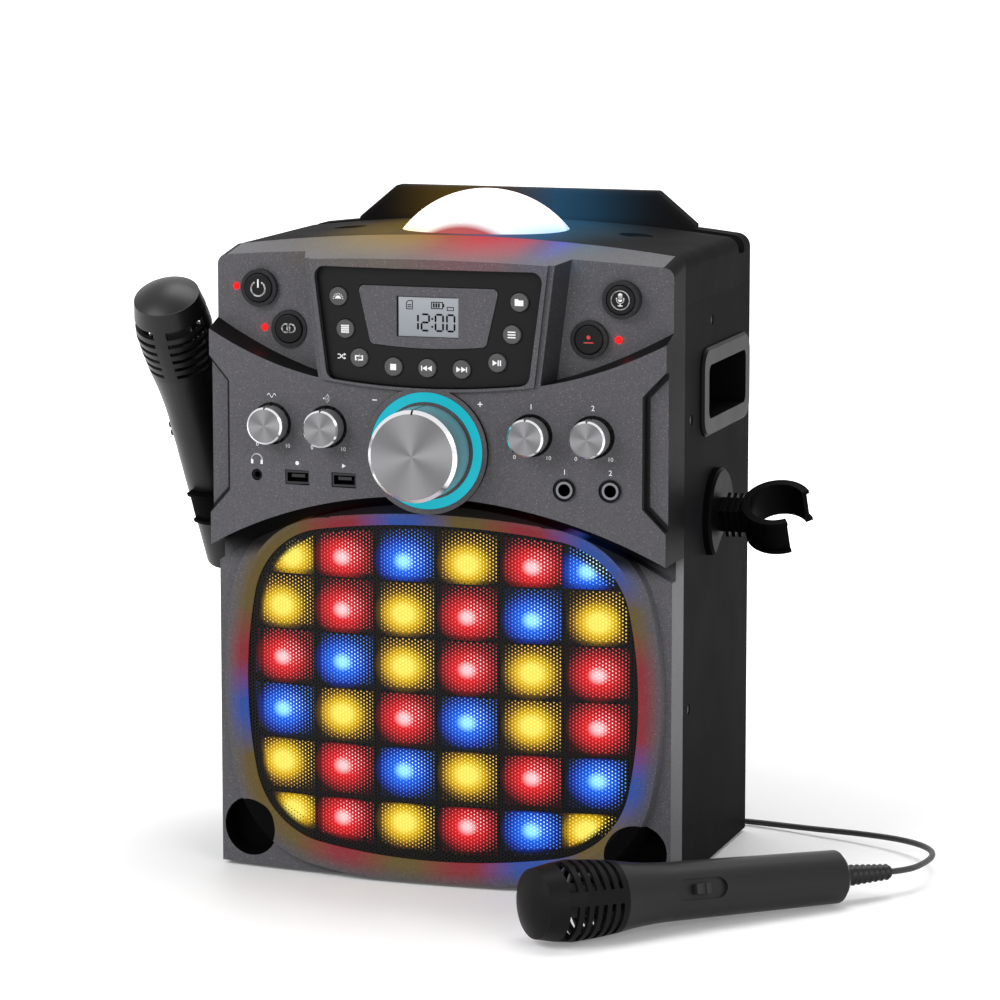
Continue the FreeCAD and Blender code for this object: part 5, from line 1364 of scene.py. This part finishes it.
def figure_bars(bm, figure, u, v, width=5.5, height=10.2, line=1.1, gap=0.22):
    """One figure of straight bars with mitred ends."""
    wide, tall = (width - line) / 2, (height - line) / 2
    corners = {"a": (-wide, tall, wide, tall), "b": (wide, 0, wide, tall), "c": (wide, -tall, wide, 0),
               "d": (-wide, -tall, wide, -tall), "e": (-wide, -tall, -wide, 0), "f": (-wide, 0, -wide, tall),
               "g": (-wide, 0, wide, 0)}
    for letter in LIT_BARS[figure]:
        a, b = Vector(corners[letter][:2]), Vector(corners[letter][2:])
        along = (b - a).normalized()
        across = Vector((-along.y, along.x)) * line / 2
        first, last = a + along * gap, b - along * gap
        inner, outer = first + along * line / 2, last - along * line / 2
        patch(bm, [Vector((u, v)) + c for c in (first, inner - across, outer - across, last, outer + across,
                                                inner + across)])


def draw_clock(bm):
    for figure, u in (("1", -8.0), ("2", -1.5), ("0", 6.7), ("0", 13.4)):
        figure_bars(bm, figure, u, -3.1)
    for v in (-5.4, -1.0):
        slab(bm, 2.6, v, 1.1, 1.1)


def draw_battery(bm):
    box_line(bm, 5.4, 6.6, 7.0, 4.0, 0.5)
    slab(bm, 9.3, 6.6, 0.7, 2.0)
    for u in (3.5, 5.0, 6.5):
        slab(bm, u, 6.6, 1.0, 2.3)


def draw_card(bm):
    stroke(bm, 0.45, (-12.6, 4.2), (-9.0, 4.2), (-9.0, 8.9), (-11.4, 8.9), (-12.6, 7.8), (-12.6, 4.2))
    for v in (5.4, 6.5):
        slab(bm, -10.8, v, 2.2, 0.5)


def draw_small_loop(bm):
    box_line(bm, 13.2, 4.9, 4.2, 2.2, 0.45)


# Painted shade along the left wall and the top of the display window.
def draw_window_shade(bm):
    slab(bm, -DISPLAY_WIDTH / 2 + 0.35, 0, 0.7, DISPLAY_HEIGHT)
    slab(bm, 0, DISPLAY_HEIGHT / 2 - 0.12, DISPLAY_WIDTH - 1.4, 0.24)


for word, draw in (("clock", draw_clock), ("battery", draw_battery), ("card", draw_card),
                   ("loop", draw_small_loop), ("shade", draw_window_shade)):
    laid("display_" + word, draw, on_flat(0, DISPLAY_CENTRE, DISPLAY_FACE),
         material=digit_black)


# Floor, light and camera

FLOOR_REACH = 14.0
FLOOR_DROP = 0.0002
GLOW_REACH = 1.6
WORLD_LEVEL = 0.3
CAMERA_TURN = math.radians(17.53)
CAMERA_RISE = math.radians(8.88)
CAMERA_AIM = Vector((0.00338, 0, 0.20396))
CAMERA_DISTANCE = 2.52965
CAMERA_LENS = 154.94


def background_seen(tree):
    """One for rays that show the background: from the camera, off metal and through glass."""
    return highest(ray(tree, "Camera"), ray(tree, "Glossy"), ray(tree, "Transmission"))


def studio_floor():
    bm = bmesh.new()
    bmesh.ops.create_grid(bm, x_segments=1, y_segments=1, size=FLOOR_REACH)
    bmesh.ops.translate(bm, verts=bm.verts[:], vec=(0, 0, FLOOR_LEVEL * MM - FLOOR_DROP))
    mesh = bpy.data.meshes.new("studio_floor")
    bm.to_mesh(mesh)
    bm.free()
    made, tree, into = new_material("pale floor", (0.86, 0.86, 0.86), 0.5, Specular_IOR_Level=0.2)
    share = distance_from(tree, (0, 0, 0), (1, 1, 1)) / GLOW_REACH
    feed(tree, into["Emission Color"], ramp(share, (0.1, (0.08, 0.08, 0.08)), (0.55, (1.0, 1.0, 1.0))))
    feed(tree, into["Emission Strength"], background_seen(tree))
    mesh.materials.append(made)
    floor = bpy.data.objects.new("studio_floor", mesh)
    scene.collection.objects.link(floor)


def studio_world():
    world = bpy.data.worlds.new("studio")
    scene.world = world
    world.use_nodes = True
    tree = world.node_tree
    background = tree.nodes["Background"]
    background.inputs["Color"].default_value = (1, 1, 1, 1)
    feed(tree, background.inputs["Strength"], mix_value(background_seen(tree), WORLD_LEVEL, 1.0))


def soft_box(name, place, aim, width, height, power):
    data = bpy.data.lights.new(name, "AREA")
    data.shape = "RECTANGLE"
    data.size = width
    data.size_y = height
    data.energy = power
    lamp = bpy.data.objects.new(name, data)
    lamp.location = place
    lamp.rotation_euler = (Vector(aim) - Vector(place)).to_track_quat("-Z", "Y").to_euler()
    scene.collection.objects.link(lamp)


def photograph_camera():
    """Camera in the place that was fitted to the photograph."""
    level = math.cos(CAMERA_RISE)
    back = Vector((math.sin(CAMERA_TURN) * level, -math.cos(CAMERA_TURN) * level, math.sin(CAMERA_RISE)))
    data = bpy.data.cameras.new("camera")
    data.sensor_width = 36.0
    data.lens = CAMERA_LENS
    data.clip_start = 0.1
    data.clip_end = 60.0
    camera = bpy.data.objects.new("camera", data)
    camera.location = CAMERA_AIM + back * CAMERA_DISTANCE
    camera.rotation_euler = (-back).to_track_quat("-Z", "Y").to_euler()
    scene.collection.objects.link(camera)
    scene.camera = camera


studio_floor()
studio_world()
soft_box("key_light", (-1.3, -1.9, 1.7), (0, 0, 0.18), 1.4, 1.4, 52)
soft_box("fill_light", (1.7, -1.5, 0.9), (0, 0, 0.18), 1.2, 1.2, 16)
soft_box("top_light", (0.0, 0.5, 2.2), (0, 0, 0.2), 1.6, 1.2, 28)
photograph_camera()
scene.view_settings.view_transform = "Standard"
